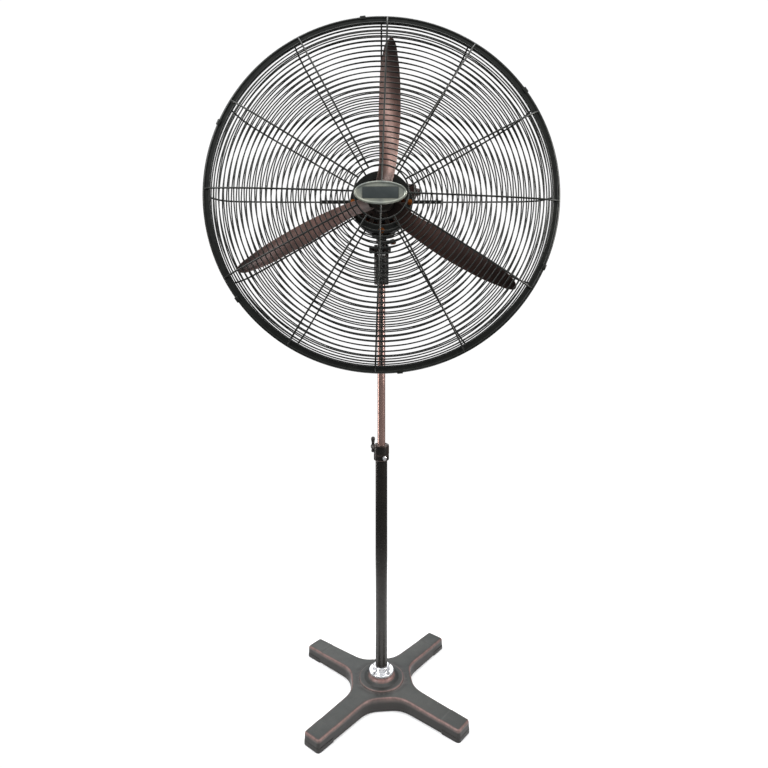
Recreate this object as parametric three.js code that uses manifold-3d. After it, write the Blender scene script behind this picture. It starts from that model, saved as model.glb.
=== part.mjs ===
// Oscillating pedestal fan, 750 mm class, on a four-armed cast base.
// Units are millimetres. +Z is up, the fan blows towards -Y, and the origin is
// on the floor, on the pole's axis. The rest pose is head level, head straight
// ahead, column at working height.
import * as THREE from 'three';
import { mergeVertices } from 'three/addons/utils/BufferGeometryUtils.js';
import Module from 'manifold-3d';

const wasm = await Module();
wasm.setup();

// ---------------------------------------------------------------- dimensions
const GAP = 0.3;               // air left between two separate pieces

// base
const ARM_REACH = 247;         // pole axis to the flat end of an arm
const ARM_HALF = 25;           // half the width of an arm
const WEB_RADIUS = 77;         // pole axis to the middle of the curve between arms
const BASE_TURN = 5.4;         // degrees the base is turned under the pole
const PAD_H = 5;               // rubber foot pad
const ARM_TOP = 29;            // top face of an arm
const DISC_R = 57, DISC_TOP = 35;
const BOSS_R = 28.5, BOSS_FLARE = 44, BOSS_TOP = 50;

// pole
const OUTER_R = 15, OUTER_BORE = 13;
const INNER_R = 10, INNER_BORE = 8;
const OUTER_BOTTOM = 12, OUTER_TOP = 606;
const INNER_BOTTOM = 500, INNER_TOP = 1070;
const FLANGE_R = 31, FLANGE_TOP = 55, FLANGE_HUB_R = 20, FLANGE_HUB_TOP = 67;
const SCREW_CIRCLE = 25.5;

// height clamp
const CLAMP_R = 19.4, CLAMP_BOTTOM = 590, CLAMP_TOP = 630;
const LOCK_ANGLE = 125, LOCK_Z = 616, LOCK_OUT = 38;

// neck and tilt joint
const FORK_R = 18.5, FORK_BOTTOM = 1038, FORK_SHOULDER = 1113;
const TILT_Z = 1127;           // tilt bolt axis
const EAR_R = 13, EAR_IN = 9.5;
const DECK_BOTTOM = 1143, DECK_TOP = 1147.5;
const SPINDLE_R = 6;

// oscillation linkage: anchor pin on the neck, crank under the gearbox
const ANCHOR_X = 30;
const CRANK_X = 4, CRANK_Y = 86, CRANK_THROW = 26;
const LINK_T = 4;

// head, measured from the fan axis
const HEAD_Z = 1240;
const MOTOR_R = 75, MOTOR_BORE = 71.5;
const FRONT_FACE = -58, SHELL_FRONT = -48, SHELL_BACK = 38, BACK_FACE = 50;
const SHAFT_R = 8;
const BOLT_CIRCLE = 69.3;

// guards
const RIM_R = 405;             // outside of the two rims
const SPOKES = 12, SPOKE_HALF = 2.6;
const RIM_Y = -166.5;          // plane where the two rims meet
const CLIP_FIRST = 36;         // first rim clip, degrees

// impeller
const BLADE_COUNT = 3, BLADE_Y = -111, HUB_R = 33, BLADE_T = 3;

// ------------------------------------------------------------------ materials
const paint = (color, roughness, metalness) => new THREE.MeshStandardMaterial({ color, roughness, metalness });
const bronze = () => paint(0x5a5f5c, 0.45, 0.55);
const bronzeDark = () => paint(0x33312e, 0.4, 0.6);
const wire = () => paint(0x1e201c, 0.4, 0.5);
const bladePaint = () => paint(0x64473f, 0.42, 0.5);
const polished = () => paint(0xd8d8da, 0.15, 1.0);
const steel = () => paint(0x9a9c9e, 0.35, 0.9);
const copperBolt = () => paint(0x965a26, 0.35, 0.8);
const rubber = () => paint(0x2a2826, 0.85, 0.0);
const plastic = () => paint(0x2b2523, 0.55, 0.0);
const copperWire = () => paint(0xa5552a, 0.45, 0.7);
const castIron = () => paint(0x4a4a48, 0.6, 0.7);
const badgeMetal = () => paint(0x979f92, 0.3, 0.9);

// -------------------------------------------------------------- shape helpers
const rad = THREE.MathUtils.degToRad;

function solidOf(geometry) {
  const bare = geometry.clone();
  bare.deleteAttribute('normal');
  bare.deleteAttribute('uv');
  const welded = mergeVertices(bare, 1e-4);
  const p = welded.attributes.position.array;
  const source = welded.index.array;
  const index = [];
  let volume = 0;
  for (let i = 0; i < source.length; i += 3) {
    const [a, b, c] = [source[i], source[i + 1], source[i + 2]];
    if (a === b || b === c || a === c) continue;
    index.push(a, b, c);
    const [ax, ay, az] = [p[3 * a], p[3 * a + 1], p[3 * a + 2]];
    const [bx, by, bz] = [p[3 * b], p[3 * b + 1], p[3 * b + 2]];
    const [cx, cy, cz] = [p[3 * c], p[3 * c + 1], p[3 * c + 2]];
    volume += ax * (by * cz - bz * cy) + ay * (bz * cx - bx * cz) + az * (bx * cy - by * cx);
  }
  if (volume < 0) for (let i = 0; i < index.length; i += 3) [index[i + 1], index[i + 2]] = [index[i + 2], index[i + 1]];
  return new wasm.Manifold(new wasm.Mesh({
    numProp: 3, vertProperties: new Float32Array(p), triVerts: new Uint32Array(index),
  }));
}

function geometryOf(solid) {
  const m = solid.getMesh();
  const g = new THREE.BufferGeometry();
  const count = m.vertProperties.length / m.numProp;
  const p = new Float32Array(count * 3);
  for (let i = 0; i < count; i++) for (let k = 0; k < 3; k++) p[3 * i + k] = m.vertProperties[i * m.numProp + k];
  g.setAttribute('position', new THREE.BufferAttribute(p, 3));
  g.setIndex(new THREE.BufferAttribute(new Uint32Array(m.triVerts), 1));
  g.computeVertexNormals();
  return g;
}

const points = (list) => list.map(([a, b]) => new THREE.Vector2(a, b));

// solids of revolution about Z, Y and X; a ring profile closes on itself
const turnZ = (list, seg = 24) => new THREE.LatheGeometry(points(list), seg).rotateX(Math.PI / 2);
const turnY = (list, seg = 24) => new THREE.LatheGeometry(points(list), seg);
const turnX = (list, seg = 16) => new THREE.LatheGeometry(points(list), seg).rotateZ(-Math.PI / 2);
const ring = (r0, r1, a, b) => [[r0, a], [r1, a], [r1, b], [r0, b], [r0, a]];
const rod = (r, a, b) => [[0, a], [r, a], [r, b], [0, b]];

// a straight round or polygonal bar between two points
function bar(r, from, to, seg = 12, turn = 0) {
  const a = new THREE.Vector3(...from), b = new THREE.Vector3(...to);
  const g = new THREE.CylinderGeometry(r, r, a.distanceTo(b), seg);
  g.rotateY(turn);
  g.applyQuaternion(new THREE.Quaternion().setFromUnitVectors(new THREE.Vector3(0, 1, 0), b.clone().sub(a).normalize()));
  return g.translate(...a.add(b).multiplyScalar(0.5).toArray());
}

const block = (x0, x1, y0, y1, z0, z1) => new THREE.BoxGeometry(x1 - x0, y1 - y0, z1 - z0)
  .translate((x0 + x1) / 2, (y0 + y1) / 2, (z0 + z1) / 2);

function slab(shape, z0, z1, curveSegments = 6) {
  return new THREE.ExtrudeGeometry(shape, { depth: z1 - z0, bevelEnabled: false, curveSegments }).translate(0, 0, z0);
}
// the same, for a shape drawn in the Y-Z plane and drawn out along X
function slabX(shape, x0, x1, curveSegments = 6) {
  const basis = new THREE.Matrix4().makeBasis(new THREE.Vector3(0, 1, 0), new THREE.Vector3(0, 0, 1), new THREE.Vector3(1, 0, 0));
  return new THREE.ExtrudeGeometry(shape, { depth: x1 - x0, bevelEnabled: false, curveSegments }).applyMatrix4(basis).translate(x0, 0, 0);
}
// and for a shape drawn in the X-Z plane and drawn out along Y
function slabY(shape, y0, y1, curveSegments = 6, bevel = 0) {
  const basis = new THREE.Matrix4().makeBasis(new THREE.Vector3(1, 0, 0), new THREE.Vector3(0, 0, 1), new THREE.Vector3(0, -1, 0));
  const g = new THREE.ExtrudeGeometry(shape, {
    depth: y1 - y0 - 2 * bevel, bevelEnabled: bevel > 0, bevelThickness: bevel, bevelSize: bevel, bevelOffset: -bevel, bevelSegments: 1, curveSegments,
  });
  return g.applyMatrix4(basis).translate(0, y1 - bevel, 0);
}

const join = (first, ...rest) => rest.reduce((s, g) => s.add(solidOf(g)), first instanceof THREE.BufferGeometry ? solidOf(first) : first);
const cut = (first, ...rest) => rest.reduce((s, g) => s.subtract(solidOf(g)), first instanceof THREE.BufferGeometry ? solidOf(first) : first);

// ------------------------------------------------------------------ the groups
const fan = new THREE.Group();
const group = (parent, x = 0, y = 0, z = 0) => {
  const g = new THREE.Group();
  g.position.set(x, y, z);
  parent.add(g);
  return g;
};
const base = group(fan);
const column = group(fan);
const neck = group(column, 0, 0, TILT_Z);
const head = group(neck, 0, 0, HEAD_Z - TILT_Z);
const rotor = group(head);

function piece(parent, name, shape, material) {
  const geometry = shape instanceof THREE.BufferGeometry ? geometryOf(solidOf(shape)) : geometryOf(shape);
  const mesh = new THREE.Mesh(geometry, material);
  mesh.name = name;
  parent.add(mesh);
  return mesh;
}

// ------------------------------------------------------------------------ base
const turned = group(base);
turned.rotation.z = rad(BASE_TURN);

function baseOutline() {
  const s = new THREE.Shape();
  const c = 7;                                   // rounded arm corners
  const flare = 115;                             // the arm is parallel beyond this
  const web = WEB_RADIUS * Math.SQRT1_2;
  for (let k = 0; k < 4; k++) {
    const a = rad(-135 + 90 * k);
    const ux = Math.cos(a), uy = Math.sin(a), nx = -uy, ny = ux;
    const at = (u, n) => [u * ux + n * nx, u * uy + n * ny];
    // from the web on the clockwise side, out along the arm, round its end and back in
    if (k === 0) s.moveTo(...at(web, -web));
    s.bezierCurveTo(...at(web + 16, -web + 16), ...at(flare - 34, -ARM_HALF - 0.5), ...at(flare, -ARM_HALF - 0.5));
    s.lineTo(...at(ARM_REACH - c, -ARM_HALF + 1));
    s.quadraticCurveTo(...at(ARM_REACH, -ARM_HALF + 1), ...at(ARM_REACH, -ARM_HALF + 1 + c));
    s.lineTo(...at(ARM_REACH, ARM_HALF - 1 - c));
    s.quadraticCurveTo(...at(ARM_REACH, ARM_HALF - 1), ...at(ARM_REACH - c, ARM_HALF - 1));
    s.lineTo(...at(flare, ARM_HALF + 0.5));
    s.bezierCurveTo(...at(flare - 34, ARM_HALF + 0.5), ...at(web + 16, web - 16), ...at(web, web));
  }
  return s;
}
{
  const bevel = 2.5;
  const arms = new THREE.ExtrudeGeometry(baseOutline(), {
    depth: ARM_TOP - PAD_H - GAP - bevel, bevelEnabled: true, bevelThickness: bevel, bevelSize: bevel, bevelOffset: -bevel, bevelSegments: 1, curveSegments: 4,
  }).translate(0, 0, PAD_H + GAP);
  // the lower bevel is cut off flat so that the pads have a full face to sit on
  let body = cut(join(arms, turnZ([[0, ARM_TOP - 6], [DISC_R, ARM_TOP - 6], [DISC_R, DISC_TOP - 2], [DISC_R - 2, DISC_TOP],
    [BOSS_FLARE, DISC_TOP], [BOSS_R + 5, DISC_TOP + 3], [BOSS_R, DISC_TOP + 8], [BOSS_R, BOSS_TOP], [0, BOSS_TOP]], 32)),
    block(-400, 400, -400, 400, -20, PAD_H + GAP),
    turnZ(rod(OUTER_R + GAP, OUTER_BOTTOM - GAP, BOSS_TOP + 5), 24));
  for (let k = 0; k < 4; k++) {
    const a = rad(45 + 90 * k - BASE_TURN);
    const [x, y] = [SCREW_CIRCLE * Math.cos(a), SCREW_CIRCLE * Math.sin(a)];
    body = cut(body, bar(2 + GAP, [x, y, 41], [x, y, 60], 8));
  }
  piece(turned, 'base_casting', body, bronze());

  // rubber pads under the arm ends
  const names = ['foot_pad_front_left', 'foot_pad_front_right', 'foot_pad_rear_right', 'foot_pad_rear_left'];
  names.forEach((name, k) => {
    const pad = new THREE.Shape();
    pad.moveTo(-22, -18); pad.lineTo(18, -18); pad.quadraticCurveTo(22, -18, 22, -14);
    pad.lineTo(22, 14); pad.quadraticCurveTo(22, 18, 18, 18); pad.lineTo(-22, 18); pad.closePath();
    const mesh = piece(turned, name, slab(pad, 0, PAD_H, 2), rubber());
    mesh.rotation.z = rad(-135 + 90 * k);
    mesh.position.set((ARM_REACH - 24) * Math.cos(mesh.rotation.z), (ARM_REACH - 24) * Math.sin(mesh.rotation.z), 0);
  });
}

// pole flange: a turned plate with a hub, held down by four screws
{
  let plate = join(turnZ([[OUTER_R + GAP, BOSS_TOP + GAP], [FLANGE_R, BOSS_TOP + GAP], [FLANGE_R, FLANGE_TOP - 1.5], [FLANGE_R - 1.5, FLANGE_TOP],
    [FLANGE_HUB_R, FLANGE_TOP], [FLANGE_HUB_R, FLANGE_HUB_TOP - 2], [FLANGE_HUB_R - 2, FLANGE_HUB_TOP], [OUTER_R + GAP, FLANGE_HUB_TOP], [OUTER_R + GAP, BOSS_TOP + GAP]], 28));
  for (let k = 0; k < 4; k++) {
    const a = rad(45 + 90 * k);
    const [x, y] = [SCREW_CIRCLE * Math.cos(a), SCREW_CIRCLE * Math.sin(a)];
    plate = cut(plate, bar(2 + GAP, [x, y, 40], [x, y, 60], 8));
    piece(base, `flange_screw_${k + 1}`, join(bar(2, [x, y, 43], [x, y, FLANGE_TOP + 1], 8),
      bar(3.8, [x, y, FLANGE_TOP + GAP], [x, y, FLANGE_TOP + 3], 8)), steel());
  }
  piece(base, 'pole_flange', plate, polished());
}

piece(base, 'outer_tube', turnZ(ring(OUTER_BORE, OUTER_R, OUTER_BOTTOM, OUTER_TOP), 24), bronzeDark());
piece(base, 'tube_bush', turnZ(ring(INNER_R + GAP, OUTER_BORE - GAP, 562, OUTER_TOP), 20), plastic());

// height clamp: a collar over the top of the outer tube, with a lock screw boss
{
  const a = rad(LOCK_ANGLE);
  const along = (d, z) => [d * Math.cos(a), d * Math.sin(a), z];
  const b = rad(-66);
  const front = (d, z) => [d * Math.cos(b), d * Math.sin(b), z];
  const collar = cut(
    join(turnZ([[0, CLAMP_BOTTOM], [CLAMP_R, CLAMP_BOTTOM], [CLAMP_R, CLAMP_TOP - 2.5], [CLAMP_R - 2.5, CLAMP_TOP], [0, CLAMP_TOP]], 28),
      bar(8.5, along(10, LOCK_Z), along(26, LOCK_Z), 14)),
    turnZ(rod(OUTER_R + GAP, CLAMP_BOTTOM - 5, OUTER_TOP + GAP), 24),
    turnZ(rod(INNER_R + GAP, CLAMP_BOTTOM - 5, CLAMP_TOP + 5), 20),
    bar(4 + GAP, along(5, LOCK_Z), along(30, LOCK_Z), 10),
    bar(3 + GAP, front(14, 598.5), front(24, 598.5), 8));
  piece(base, 'clamp_collar', collar, bronzeDark());
  piece(base, 'collar_screw', join(bar(3, front(OUTER_R + GAP + 0.2, 598.5), front(21, 598.5), 8),
    bar(4.4, front(CLAMP_R + GAP, 598.5), front(CLAMP_R + 3.8, 598.5), 6)), polished());
  piece(base, 'height_lock_handle', join(bar(4, along(INNER_R + GAP + 0.2, LOCK_Z), along(LOCK_OUT, LOCK_Z), 10),
    bar(6.5, along(28, LOCK_Z), along(LOCK_OUT + 3, LOCK_Z), 12),
    bar(4, along(LOCK_OUT, LOCK_Z - 15), along(LOCK_OUT, LOCK_Z + 19), 10),
    new THREE.SphereGeometry(5.4, 10, 8).translate(...along(LOCK_OUT, LOCK_Z + 20))), plastic());
}

// ---------------------------------------------------------------------- column
piece(column, 'inner_tube', turnZ(ring(INNER_BORE, INNER_R, INNER_BOTTOM, INNER_TOP), 20), bronze());
piece(column, 'tube_glide', turnZ([[0, 486], [OUTER_BORE - 1, 486], [OUTER_BORE - 0.4, 487], [OUTER_BORE - 0.4, INNER_BOTTOM - GAP],
  [INNER_BORE - GAP, INNER_BOTTOM - GAP], [INNER_BORE - GAP, INNER_BOTTOM + 14], [0, INNER_BOTTOM + 14]], 20), plastic());

// fork: socket for the inner tube below, two ears for the tilt bolt above
{
  const ear = new THREE.Shape();
  ear.moveTo(-EAR_R, FORK_SHOULDER - 4); ear.lineTo(EAR_R, FORK_SHOULDER - 4); ear.lineTo(EAR_R, TILT_Z);
  ear.absarc(0, TILT_Z, EAR_R, 0, Math.PI, false); ear.closePath();
  const fork = cut(
    join(turnZ([[0, FORK_BOTTOM], [FORK_R - 1.5, FORK_BOTTOM], [FORK_R, FORK_BOTTOM + 2], [FORK_R, FORK_SHOULDER], [0, FORK_SHOULDER]], 24),
      slabX(ear, EAR_IN, FORK_R, 8), slabX(ear, -FORK_R, -EAR_IN, 8)),
    turnZ(rod(INNER_R + GAP, FORK_BOTTOM - 5, INNER_TOP + GAP), 20),
    bar(4 + GAP, [-30, 0, TILT_Z], [30, 0, TILT_Z], 12));
  piece(column, 'neck_fork', fork, bronzeDark());
}
piece(column, 'tilt_bolt', join(bar(4, [-27, 0, TILT_Z], [20, 0, TILT_Z], 12), bar(7, [FORK_R + GAP, 0, TILT_Z], [FORK_R + 5.5, 0, TILT_Z], 6)), steel());

// tilt lock knob: a lobed hand nut on the free end of the tilt bolt
{
  const lobe = new THREE.Shape();
  const n = 24;
  for (let i = 0; i < n; i++) {
    const t = 2 * Math.PI * i / n, r = 9.2 + 1.0 * Math.cos(6 * t);
    if (i === 0) lobe.moveTo(r * Math.cos(t), r * Math.sin(t) + TILT_Z); else lobe.lineTo(r * Math.cos(t), r * Math.sin(t) + TILT_Z);
  }
  piece(column, 'tilt_lock_knob', cut(slabX(lobe, -31, -FORK_R - 0.6, 1), bar(4 + GAP, [-27.4, 0, TILT_Z], [-10, 0, TILT_Z], 12)), plastic());
}

// neck block, which tilts between the fork's ears and carries the spindle.
// Local origin: the tilt axis.
const L = (z) => z - TILT_Z;
{
  const tongue = new THREE.Shape();
  tongue.absarc(0, 0, EAR_R - 0.5, Math.PI, 2 * Math.PI, false);
  tongue.lineTo(EAR_R - 0.5, L(DECK_BOTTOM) + 1); tongue.lineTo(-EAR_R + 0.5, L(DECK_BOTTOM) + 1); tongue.closePath();
  const deck = new THREE.Shape();
  deck.absarc(0, 0, 15, rad(60), rad(300), false);
  deck.lineTo(ANCHOR_X, -8);
  deck.absarc(ANCHOR_X, 0, 8, rad(-90), rad(90), false);
  deck.closePath();
  const neckBlock = cut(join(slabX(tongue, -EAR_IN + GAP, EAR_IN - GAP, 8), slab(deck, L(DECK_BOTTOM), L(DECK_TOP), 5)),
    bar(4 + GAP, [-30, 0, 0], [30, 0, 0], 12),
    bar(SPINDLE_R + GAP, [0, 0, L(1134)], [0, 0, L(1160)], 14),
    bar(3 + GAP, [ANCHOR_X, 0, L(1140)], [ANCHOR_X, 0, L(1160)], 10));
  piece(neck, 'neck_block', neckBlock, bronzeDark());
  piece(neck, 'swing_spindle', bar(SPINDLE_R, [0, 0, L(1134.4)], [0, 0, L(1160.5)], 16), steel());
  piece(neck, 'link_anchor_pin', join(bar(3, [ANCHOR_X, 0, L(DECK_BOTTOM)], [ANCHOR_X, 0, L(1155)], 12)), steel());
}

// oscillation link: an eye at each end; the eye on the anchor pin is a loose one
{
  const z0 = L(1149), p = [ANCHOR_X, CRANK_Y];
  const link = new THREE.Shape();
  link.absarc(ANCHOR_X, 0, 8.5, rad(-212), rad(32), false);
  link.lineTo(ANCHOR_X + 4.5, CRANK_Y - 6);
  link.absarc(p[0], p[1], 7, rad(-48), rad(228), false);
  link.lineTo(ANCHOR_X - 4.5, 8);
  link.closePath();
  piece(neck, 'oscillation_link', cut(slab(link, z0, z0 + LINK_T, 5),
    bar(4.8, [ANCHOR_X, 0, z0 - 5], [ANCHOR_X, 0, z0 + 10], 14), bar(3 + GAP, [...p, z0 - 5], [...p, z0 + 10], 12)), steel());
}

// ------------------------------------------------- head: motor, from its axis
const M = (z) => z - HEAD_Z;
const around = (deg, r) => [r * Math.cos(rad(deg)), r * Math.sin(rad(deg))];

piece(head, 'motor_shell', turnY(ring(MOTOR_BORE, MOTOR_R, SHELL_FRONT, SHELL_BACK), 32), bronzeDark());
{
  let front = join(turnY([[9.5, FRONT_FACE], [MOTOR_R - 3, FRONT_FACE], [MOTOR_R, FRONT_FACE + 3], [MOTOR_R, SHELL_FRONT - GAP], [MOTOR_BORE, SHELL_FRONT - GAP],
    [MOTOR_BORE, FRONT_FACE + 4], [21, FRONT_FACE + 4], [21, FRONT_FACE + 16], [16.3, FRONT_FACE + 16], [16.3, FRONT_FACE + 4], [9.5, FRONT_FACE + 4], [9.5, FRONT_FACE]], 32));
  for (let k = 0; k < 4; k++) {
    const [x, z] = around(90 * k, BOLT_CIRCLE);
    front = join(front, bar(6, [x * 0.985, FRONT_FACE + 2, z * 0.985], [x * 0.985, SHELL_FRONT - 0.5, z * 0.985], 8));
  }
  for (let k = 0; k < 4; k++) {
    const [x, z] = around(90 * k, BOLT_CIRCLE);
    front = cut(front, bar(3 + GAP, [x, FRONT_FACE - 5, z], [x, SHELL_FRONT + 5, z], 10));
    piece(head, `guard_bolt_${k + 1}`, join(bar(3, [x, FRONT_FACE - 5, z], [x, SHELL_FRONT - 1, z], 10),
      bar(6.2, [x, FRONT_FACE - 8.2, z], [x, FRONT_FACE - 4.4, z], 6)), copperBolt());
  }
  piece(head, 'motor_front_cover', front, bronzeDark());
}
piece(head, 'motor_rear_cover', turnY([[9.5, BACK_FACE], [MOTOR_R - 12, BACK_FACE], [MOTOR_R, BACK_FACE - 8], [MOTOR_R, SHELL_BACK + GAP], [MOTOR_BORE, SHELL_BACK + GAP],
  [MOTOR_R - 13, BACK_FACE - 4], [21, BACK_FACE - 4], [21, BACK_FACE - 15], [16.3, BACK_FACE - 15], [16.3, BACK_FACE - 4], [9.5, BACK_FACE - 4], [9.5, BACK_FACE]], 32), bronzeDark());
piece(head, 'front_bearing', turnY(ring(SHAFT_R + GAP, 16, FRONT_FACE + 4 + GAP, FRONT_FACE + 15), 20), steel());
piece(head, 'rear_bearing', turnY(ring(SHAFT_R + GAP, 16, BACK_FACE - 14, BACK_FACE - 4 - GAP), 20), steel());
piece(head, 'stator_core', turnY(ring(45, MOTOR_BORE - GAP, -24, 18), 32), castIron());
piece(head, 'stator_winding_front', turnY([[49, -25], [49, -36], [54, -40], [62, -40], [67, -35], [67, -25], [49, -25]].map(([r, y]) => [r, y + 0.7]), 24), copperWire());
piece(head, 'stator_winding_rear', turnY([[49, 18.4], [67, 18.4], [67, 27], [62, 31], [54, 31], [49, 28], [49, 18.4]], 24), copperWire());

// saddle: joins the motor to the swing spindle
{
  const saddle = new THREE.Shape();
  saddle.moveTo(-13, -14); saddle.lineTo(13, -14); saddle.lineTo(13, 14); saddle.lineTo(-13, 14); saddle.closePath();
  piece(head, 'swing_saddle', cut(join(turnZ([[0, M(1148.2)], [13, M(1148.2)], [13, M(1168)], [0, M(1168)]], 20), block(-24, 24, -26, 26, M(1159.5), M(1178))),
    turnY(rod(MOTOR_R + GAP, -60, 60), 32).rotateY(0),
    bar(SPINDLE_R + GAP, [0, 0, M(1140)], [0, 0, M(1161)], 16)), bronzeDark());
}

// gearbox behind the motor, open towards the rear cover that closes it
const GB = { x0: -28, x1: 36, y0: BACK_FACE + GAP, y1: 114, z0: M(1166), z1: 26 };
{
  const c = 9;
  const outline = (d) => {
    const s = new THREE.Shape();
    const [a, b, e, f] = [GB.x0 + d, GB.x1 - d, GB.z0 + d, GB.z1 - d];
    s.moveTo(a + c, e); s.lineTo(b - c, e); s.lineTo(b, e + c); s.lineTo(b, f - c); s.lineTo(b - c, f); s.lineTo(a + c, f); s.lineTo(a, f - c); s.lineTo(a, e + c); s.closePath();
    return s;
  };
  const box = cut(slabY(outline(0), GB.y0, GB.y1, 2), slabY(outline(4), GB.y0 - 5, GB.y1 - 4, 2),
    bar(5 + GAP, [CRANK_X, CRANK_Y, GB.z0 - 5], [CRANK_X, CRANK_Y, GB.z0 + 10], 12),
    bar(4 + GAP, [CRANK_X, CRANK_Y, GB.z1 - 10], [CRANK_X, CRANK_Y, GB.z1 + 5], 12),
    bar(5.9, [-12, GB.y1 - 10, -46], [-12, GB.y1 + 5, -46], 12));
  piece(head, 'gearbox_housing', box, bronzeDark());
  piece(head, 'cable_gland', cut(join(bar(5.6, [-12, GB.y1 - 4, -46], [-12, GB.y1 + 2, -46], 12), bar(9.5, [-12, GB.y1 + GAP, -46], [-12, GB.y1 + 6, -46], 6),
    bar(7.2, [-12, GB.y1 + 5.5, -46], [-12, GB.y1 + 13, -46], 12)), bar(4, [-12, GB.y1 - 8, -46], [-12, GB.y1 + 20, -46], 12)), plastic());
}

// crank gear: face gear and shaft in the gearbox, crank arm and pin below it
{
  const arm = new THREE.Shape();
  arm.absarc(CRANK_X, CRANK_Y, 10, rad(75), rad(285), false);
  arm.lineTo(CRANK_X + CRANK_THROW, CRANK_Y - 7);
  arm.absarc(CRANK_X + CRANK_THROW, CRANK_Y, 7, rad(-90), rad(90), false);
  arm.closePath();
  const p = [CRANK_X + CRANK_THROW, CRANK_Y];
  piece(head, 'crank_gear', join(slab(arm, M(1154), M(1158.5), 5),
    bar(5, [CRANK_X, CRANK_Y, M(1156)], [CRANK_X, CRANK_Y, -12], 14),
    turnZ(rod(23, -17, -9.5), 30).translate(CRANK_X, CRANK_Y, 0),
    bar(3, [...p, M(1148.4)], [...p, M(1156)], 12)), steel());
}
// pull knob on top of the gearbox that lets the swing drive in and out
piece(head, 'oscillation_knob', join(turnZ([[0, GB.z1 - 8], [4, GB.z1 - 8], [4, GB.z1 + 4], [8.5, GB.z1 + 6], [8.5, GB.z1 + 16], [6.5, GB.z1 + 18], [0, GB.z1 + 18]], 16)
  .translate(CRANK_X, CRANK_Y, 0)), plastic());

// switch box on the side of the motor, with the capacitor inside it
{
  const x0 = 60, x1 = 88, y0 = -14, y1 = 32, z0 = 16, z1 = 54;
  const shellCut = () => turnY(rod(MOTOR_R + GAP, -60, 60), 32);
  piece(head, 'switch_box', cut(block(x0, x1, y0, y1, z0, z1), shellCut(), block(x0 - 5, x1 - 3, y0 + 3, y1 - 3, z0 + 3, z1 - 3),
    bar(3 + GAP, [x1 - 8, 8, 36], [x1 + 5, 8, 36], 10)), plastic());
  piece(head, 'capacitor', cut(block(x0 + 8, x1 - 12, y0 + 5, y1 - 5, z0 + 20, z1 - 5), turnY(rod(MOTOR_R + 1, -60, 60), 32)), plastic());
  piece(head, 'speed_knob', join(turnX([[0, x1 - 5], [3, x1 - 5], [3, x1 + 1], [11, x1 + 1], [11, x1 + 5], [9, x1 + 9], [0, x1 + 9]], 18).translate(0, 8, 36),
    block(x1 + 8, x1 + 12, 6.2, 9.8, 27.5, 44.5)), plastic());
}

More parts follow.
